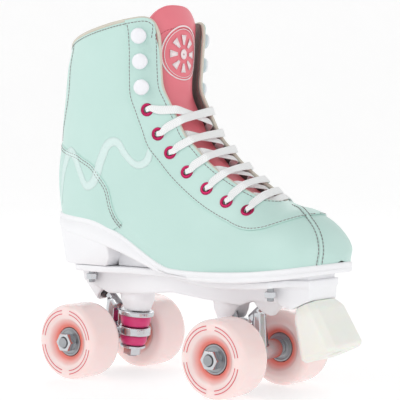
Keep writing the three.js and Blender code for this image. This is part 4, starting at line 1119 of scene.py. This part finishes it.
def tongue():
    columns, count = 25, 76
    outer = tongue_grid(0, count, columns)
    inner = tongue_grid(-TONGUE_WALL, count, columns)
    rows = count * columns
    faces = grid_faces(count, columns) + [tuple(rows + i for i in reversed(f)) for f in grid_faces(count, columns)]
    border = (list(range(columns)) + [(i + 1) * columns + columns - 1 for i in range(count - 1)]
              + [(count - 1) * columns + j for j in reversed(range(columns - 1))]
              + [i * columns for i in reversed(range(1, count - 1))])
    faces += [(a, rows + a, rows + b, b) for a, b in zip(border, border[1:] + border[:1])]
    piece = piece_from("padded_tongue", np.concatenate([outer.reshape(-1, 3), inner.reshape(-1, 3)]), faces)
    welded(piece, 0.01, outward=True)
    inflated(piece, pressure=2.5, cap=1.2)
    modified(piece, "BEVEL", width=1.6 * MM, segments=3, limit_method="ANGLE", angle_limit=math.radians(45))
    keep(piece, "root", CORAL, ["tongue"])
    turns = np.linspace(-0.93, 0.93, 90)
    seam = np.array([tongue_point(tongue_top(s) + 1.05, s, 0.15) for s in turns])
    out = np.array([tongue_point(tongue_top(s) + 1.05, s, 1.15) for s in turns]) - seam
    stitched("tongue_stitches", [(seam, out)], CORAL_THREAD, thickness=0.6)


def inflated(piece, pressure, cap, frames=14):
    """Fills a closed form with air for a few frames, and keeps each point within cap of where it was."""
    start = np.array([v.co[:] for v in piece.data.vertices])
    cloth = piece.modifiers.new("cloth", "CLOTH")
    cloth.settings.use_pressure = True
    cloth.settings.uniform_pressure_force = pressure
    cloth.settings.effector_weights.gravity = 0
    scene = bpy.context.scene
    for number in range(1, frames + 1):
        scene.frame_set(number)
    blown = piece.evaluated_get(bpy.context.evaluated_depsgraph_get()).to_mesh()
    after = np.array([v.co[:] for v in blown.vertices])
    piece.modifiers.clear()
    move = after - start
    size = np.linalg.norm(move, axis=1, keepdims=True)
    move *= np.minimum(1, cap * MM / np.maximum(size, 1e-12))
    for vertex, place in zip(piece.data.vertices, start + move):
        vertex.co = place
    scene.frame_set(1)


BADGE_STATION = 1.45
BADGE_LIFT = 0.9     # clear of the filled tongue


def badge():
    """A plain spoked wheel inside two rings, printed on the tongue."""
    made = bmesh.new()

    def strip(inner_line, outer_line, close=True):
        a = [made.verts.new(world(p)) for p in inner_line]
        b = [made.verts.new(world(p)) for p in outer_line]
        count = len(a)
        for i in range(count if close else count - 1):
            k = (i + 1) % count
            made.faces.new((a[i], a[k], b[k], b[i]))

    def at(dx, dy):
        u = BADGE_STATION - dy / COLLAR_STEP
        half = np.interp(u, TONGUE_FRAMES[0], TONGUE_FRAMES[5])
        return tongue_point(u, dx / half, BADGE_LIFT)

    turns = np.linspace(0, 2 * math.pi, 72, endpoint=False)
    for inner, outer in ((19.7, 20.8), (17.8, 18.3)):
        strip([at(inner * math.cos(t), inner * math.sin(t)) for t in turns],
              [at(outer * math.cos(t), outer * math.sin(t)) for t in turns])
    for k in range(8):
        aim = k * math.pi / 4
        spoke = [(r, aim + side * w / r) for r, w in ((6.7, 1.0), (10.1, 1.8), (14.1, 2.9)) for side in (-1, 1)]
        corners = [at(r * math.cos(t), r * math.sin(t)) for r, t in spoke]
        strip(corners[0::2], corners[1::2], close=False)
    strip([at(0.6 * math.cos(t), 0.6 * math.sin(t)) for t in turns],
          [at(3.6 * math.cos(t), 3.6 * math.sin(t)) for t in turns])
    bmesh.ops.remove_doubles(made, verts=made.verts, dist=1e-6)
    bmesh.ops.recalc_face_normals(made, faces=made.faces)
    mesh = bpy.data.meshes.new("tongue_badge")
    made.to_mesh(mesh)
    made.free()
    piece = linked("tongue_badge", mesh)
    modified(piece, "SOLIDIFY", thickness=0.12 * MM, offset=0)
    keep(piece, "root", BADGE_INK)


# ---------- insole and board ----------
def insoles():
    for node, material in (("insole", FOAM), ("insole_board", BOARD)):
        nodes[node].data.materials.clear()
        nodes[node].data.materials.append(material)


# ---------- sole ----------
def sole_rim():
    top_profile = [(-9.0, -5.0), (-4.0, -1.6), (-2.2, -0.35), (-1.5, 0.0), (-0.8, -0.1), (-0.25, -0.6), (0.0, -1.5),
                   (0.0, -3.6), (-0.45, -4.0), (-0.45, -4.3), (0.0, -4.7)]
    under_profile = [(0.0, 2.4), (-0.1, 1.5), (-0.5, 0.7), (-1.2, 0.2), (-2.2, 0.0), (-9.0, 0.0)]
    plan = outline(0.0)
    rows = []
    for profile, edge in ((top_profile, RIM_TOP), (under_profile, SOLE_UNDER)):
        for inset, lift in profile:
            ring = outline(inset)
            rows.append(np.column_stack([ring, height_at(edge, plan[:, 0]) + lift]))
    grid = np.array(rows)
    count = grid.shape[1]
    faces = grid_faces(len(rows), count, closed=True)
    half = count // 2
    for base, flip in ((0, True), ((len(rows) - 1) * count, False)):
        for i in range(half):
            quad = [base + i, base + i + 1, base + (count - i - 1) % count, base + (count - i) % count]
            quad = list(dict.fromkeys(quad))
            faces.append(tuple(reversed(quad)) if flip else tuple(quad))
    piece = piece_from("sole_rim", grid.reshape(-1, 3), faces)
    welded(piece, 0.01, outward=True)
    return keep(piece, "root", NYLON, ["sole_unit"])


HEEL_BACK, HEEL_FRONT, HEEL_HALF = -112.0, -50.0, 29.5
SHANK_HALF = 17.0


def hull_piece(name, points, edge, segments=3):
    mesh = bmesh.new()
    for point in world(points):
        mesh.verts.new(point)
    bmesh.ops.convex_hull(mesh, input=mesh.verts)
    loose = [v for v in mesh.verts if not v.link_faces]
    bmesh.ops.delete(mesh, geom=loose, context="VERTS")
    bmesh.ops.dissolve_limit(mesh, angle_limit=math.radians(1.5), verts=mesh.verts, edges=mesh.edges)
    bmesh.ops.recalc_face_normals(mesh, faces=mesh.faces)
    data = bpy.data.meshes.new(name)
    mesh.to_mesh(data)
    mesh.free()
    piece = linked(name, data)
    modified(piece, "BEVEL", width=edge * MM, segments=segments, limit_method="ANGLE", angle_limit=math.radians(28))
    return modified(piece, "WEIGHTED_NORMAL", keep_sharp=True)


def heel_block():
    ring = outline(-0.3)
    ring = ring[ring[:, 0] < HEEL_FRONT]
    top = [(x, y, 76 - 0.2 * (x - HEEL_FRONT)) for x, y in ring[::3]]
    widest = np.abs(ring[:, 1]).max()
    top += [(HEEL_FRONT, widest, 76), (HEEL_FRONT, -widest, 76)]
    middle = HEEL_BACK + HEEL_HALF * 0.9
    turns = np.linspace(math.pi / 2, 3 * math.pi / 2, 28)
    bottom = [(middle + (middle - HEEL_BACK) * math.cos(t), HEEL_HALF * math.sin(t), HEEL_BOTTOM) for t in turns]
    front = [(HEEL_FRONT, side * (HEEL_HALF + 0.9), 65) for side in (1, -1)]
    chamfer = [(HEEL_FRONT - 5, side * HEEL_HALF, HEEL_BOTTOM) for side in (1, -1)]
    block = hull_piece("heel_block", np.array([*top, *bottom, *front, *chamfer]), 1.3)
    keep(block, "root", NYLON)
    shank = []
    for side in (1, -1):
        half = side * SHANK_HALF
        shank += [(HEEL_FRONT - 2, half, HEEL_BOTTOM), (4, half, HEEL_BOTTOM), (4, half, 62),
                  (HEEL_FRONT - 2, half, 79)]
    keep(hull_piece("heel_shank", np.array(shank), 0.6), "root", NYLON)
    # packing under the turned-up toe, between the sole and the plate's nose
    packing = [(x, side * half, z) for x, half in ((96, 31), (112, 24), (127, 17)) for side in (1, -1)
               for z in (HEEL_BOTTOM - 0.35, 63)]
    keep(hull_piece("toe_packing", np.array(packing), 0.4), "root", NYLON)


# ---------- plate and toe stop ----------
def plate():
    piece = resmoothed("moulded_plate", "plate", 0.95, 4)
    keep(piece, "root", NYLON, ["plate"])


def toe_stop():
    piece = resmoothed("cast_toe_stop", "toe_stop", 0.8, 10)
    keep(piece, "root", RUBBER, ["toe_stop"])


# ---------- wheels and bearings ----------
WHEEL_RADIUS = 29.0
WHEEL_HALF = 16.5
HUB_FACE = WHEEL_HALF - 4.5


def tyre_profile():
    side = [(9.0, HUB_FACE - 7.3), (11.3, HUB_FACE - 7.3), (11.3, HUB_FACE), (13.4, HUB_FACE),
            (16.0, HUB_FACE + 1.0), (18.4, HUB_FACE + 3.0), (21.0, HUB_FACE + 4.15), (23.5, HUB_FACE + 4.45),
            (25.6, HUB_FACE + 4.2), (27.3, HUB_FACE + 3.1), (28.4, HUB_FACE + 1.3), (28.9, HUB_FACE - 0.6),
            (29.0, HUB_FACE - 2.6)]
    edge = rounded(side, 0.9, 3)
    other = [(r, -h) for r, h in reversed(edge)]
    return [*edge, *other]


def print_profile():
    return np.array(rounded([(20.0, HUB_FACE + 3.85), (21.0, HUB_FACE + 4.15), (23.5, HUB_FACE + 4.45),
                             (25.6, HUB_FACE + 4.2), (26.4, HUB_FACE + 3.7)], 0.9, 3))


def wheel_name(end, side):
    return f"{end}_{side}_wheel"


def wheels():
    for end, fore in (("front", 1), ("rear", -1)):
        for side, left in (("left", 1), ("right", -1)):
            body = wheel_name(end, side)
            place = (fore * WHEELBASE / 2, left * TRACK / 2, 0)
            tyre = turned(f"{body}_tyre", tyre_profile(), place, (0, left, 0), 96)
            shade_core(tyre, place)
            keep(tyre, body, TYRE, [body])
            keep(print_arcs(f"{body}_print", place, left), body, PRINT)
            for seat, along in (("outer", HUB_FACE - 3.5), ("inner", -HUB_FACE + 3.5)):
                bearing(f"{body}_{seat}_race", (place[0], place[1] + left * along, 0),
                        left if seat == "outer" else -left, body, f"{end}_{side}_{seat}_bearing")


def shade_core(tyre, place):
    """Marks how strongly the coloured core shows at each point: 1 at the hub, 0 at the tread."""
    core = tyre.data.attributes.new("core", "FLOAT", "POINT")
    values = []
    for vertex in tyre.data.vertices:
        x, y, z = np.array(vertex.co) / MM - AXLES - np.array(place)
        radius = math.hypot(x, z)
        values.append(max(0.0, min(1.0, (18.6 - radius) / 6.5)) * 0.95 + max(0.0, (27 - radius) / 27) * 0.12)
    core.data.foreach_set("value", values)


def print_arcs(name, place, left):
    """Two thin printed rings on the outer side, broken into four arcs."""
    line = print_profile()
    points, faces = [], []
    steps, gap = 28, 0.16
    for low, high in ((21.6, 22.3), (24.2, 24.9)):
        for quarter in range(4):
            turns = np.linspace(quarter * math.pi / 2 + gap, (quarter + 1) * math.pi / 2 - gap, steps)
            first = len(points)
            for t in turns:
                for radius in (low, high):
                    height = np.interp(radius, line[:, 0], line[:, 1]) + 0.06
                    points.append((place[0] + radius * math.cos(t), place[1] + left * height, radius * math.sin(t)))
            faces += [(k, k + 1, k + 3, k + 2) for k in range(first, first + 2 * (steps - 1), 2)]
    piece = piece_from(name, points, faces if left > 0 else [tuple(reversed(f)) for f in faces])
    return modified(piece, "SOLIDIFY", thickness=0.08 * MM, offset=0)


def bearing(name, place, outward, body, node):
    race = rounded([(4.35, -3.5), (10.9, -3.5), (10.9, 3.5), (9.3, 3.5), (9.2, 3.0), (6.4, 3.0), (6.3, 3.5),
                    (4.35, 3.5), (4.3, 0)], 0.25, 2)
    piece = turned(name, race, place, (0, outward, 0), 56)
    keep(piece, body, STEEL, [node])


# ---------- trucks ----------
LEAN = math.radians(7)
RING_INBOARD, RING_HEIGHT = 21.0, 6.0
RING_HALF = 3.25
GAP = 0.3
UPPER_CUSHION, LOWER_CUSHION, WASHER = 10.5, 8.0, 2.0


def truck_frame(fore):
    """A truck's ring centre and the directions along its kingpin and its steering axis."""
    ring = np.array([fore * (WHEELBASE / 2 - RING_INBOARD), 0, RING_HEIGHT])
    kingpin = np.array([-fore * math.sin(LEAN), 0, math.cos(LEAN)])
    return ring, kingpin


def cushion_profile(low, high, bottom, top):
    waist = (low + high) / 2
    bulge = (bottom + top) / 2 + 0.4
    return rounded([(4.3, low), (bottom - 0.4, low), (bulge, waist), (top - 0.4, high), (4.3, high)], 1.6, 5)


def trucks():
    upper_low = RING_HALF + GAP
    upper_high = upper_low + UPPER_CUSHION
    lower_high = -RING_HALF - GAP
    lower_low = lower_high - LOWER_CUSHION
    for end, fore in (("front", 1), ("rear", -1)):
        ring, kingpin = truck_frame(fore)
        hanger = resmoothed(f"{end}_cast_hanger", f"{end}_hanger", 0.6, 8)
        keep(hanger, f"{end}_truck", CHROME, [f"{end}_hanger"])
        cushions = {"upper": cushion_profile(upper_low, upper_high, 11.3, 12.3),
                    "lower": cushion_profile(lower_low, lower_high, 9.5, 11)}
        for label, profile in cushions.items():
            piece = turned(f"{end}_{label}_bushing", profile, ring, kingpin, 64)
            keep(piece, "root", BUSHING, [f"{end}_{label}_cushion"])
        cup = rounded([(4.3, upper_high + GAP), (13.1, upper_high + GAP), (13.1, upper_high - 1.6),
                       (14.3, upper_high - 1.6), (14.3, upper_high + GAP + 1.4), (13.3, upper_high + GAP + WASHER),
                       (4.3, upper_high + GAP + WASHER)], 0.7, 4)
        keep(turned(f"{end}_upper_cup_washer", cup, ring, kingpin, 64), "root", CHROME,
             [f"{end}_upper_washer"])
        flat_high = lower_low - GAP
        flat = rounded([(4.3, flat_high - WASHER), (10.0, flat_high - WASHER), (10.0, flat_high), (4.3, flat_high)],
                       0.6, 4)
        keep(turned(f"{end}_lower_flat_washer", flat, ring, kingpin, 64), "root", CHROME,
             [f"{end}_lower_washer"])


def bevelled(name, node, edge, body, material):
    """A CAD fastener with the small chamfers that machining leaves."""
    piece = welded(linked(name, nodes[node].data.copy()), 0.01)
    edit(piece, lambda mesh: bmesh.ops.dissolve_limit(mesh, angle_limit=math.radians(2), verts=mesh.verts,
                                                      edges=mesh.edges))
    modified(piece, "BEVEL", width=edge * MM, segments=2, limit_method="ANGLE", angle_limit=math.radians(40))
    keep(piece, body, material, [node])
    for polygon in piece.data.polygons:
        polygon.use_smooth = False


def fasteners():
    for end in ("front", "rear"):
        for side in ("left", "right"):
            bevelled(f"{end}_{side}_lock_nut", f"{end}_{side}_axle_nut", 0.5, f"{end}_truck", CHROME)
            bevelled(f"{end}_{side}_mounting_nut", f"{end}_{side}_plate_nut", 0.4, "root", CHROME)
            bevelled(f"{end}_{side}_mounting_bolt", f"{end}_{side}_plate_bolt", 0.3, "root", STEEL)
        bevelled(f"{end}_turned_axle", f"{end}_axle", 0.4, f"{end}_truck", STEEL)
        bevelled(f"{end}_kingpin_bolt", f"{end}_kingpin", 0.4, "root", STEEL)
        bevelled(f"{end}_kingpin_lock_nut", f"{end}_kingpin_nut", 0.5, "root", CHROME)
        bevelled(f"{end}_pivot_bush", f"{end}_pivot_cup", 0.4, "root", PIVOT_RUBBER)
    bevelled("toe_stop_screw", "toe_stop_bolt", 0.4, "root", CHROME)


# ---------- the whole skate ----------
def floor():
    """A seamless studio bowl: flat under the skate, curving up far away on every side."""
    flat, bend = 2200, 1500
    curve = [(flat + bend * math.sin(t), bend * (1 - math.cos(t))) for t in np.linspace(0, math.pi / 2, 12)]
    profile = [(0, 0), (flat / 2, 0), *curve, (flat + bend, bend + 1500)]
    ground = turned("floor", profile, (-AXLES[0], 0, -AXLES[2]), (0, 0, 1), 96)
    for polygon in ground.data.polygons:
        polygon.use_smooth = True
    ground.data.materials.append(floor_paint("studio_floor"))


studio()
floor()
lace()
upper, lining = boot()
facings = two_sided("facing_overlay", facing_grid(FACING_TOP), FACING_TOP - FACING_LOW, 0.35)
counter = two_sided("heel_counter", counter_grid(COUNTER_TOP), COUNTER_TOP + 0.3, 0.25)
for layer in (upper, facings, lining):
    punched(layer, EYELET_HOLE / 2)
keep(upper, "root", MINT, ["boot_upper"])
keep(lining, "root", LINING, ["boot_lining"])
keep(facings, "root", MINT, ["left_eyestay", "right_eyestay"])
keep(counter, "root", MINT)
edge_bindings()
side_print()
stitch_boot()
toe_welt()
eyelets()
hooks()
tongue()
badge()
insoles()
sole_rim()
heel_block()
plate()
toe_stop()
wheels()
trucks()
fasteners()
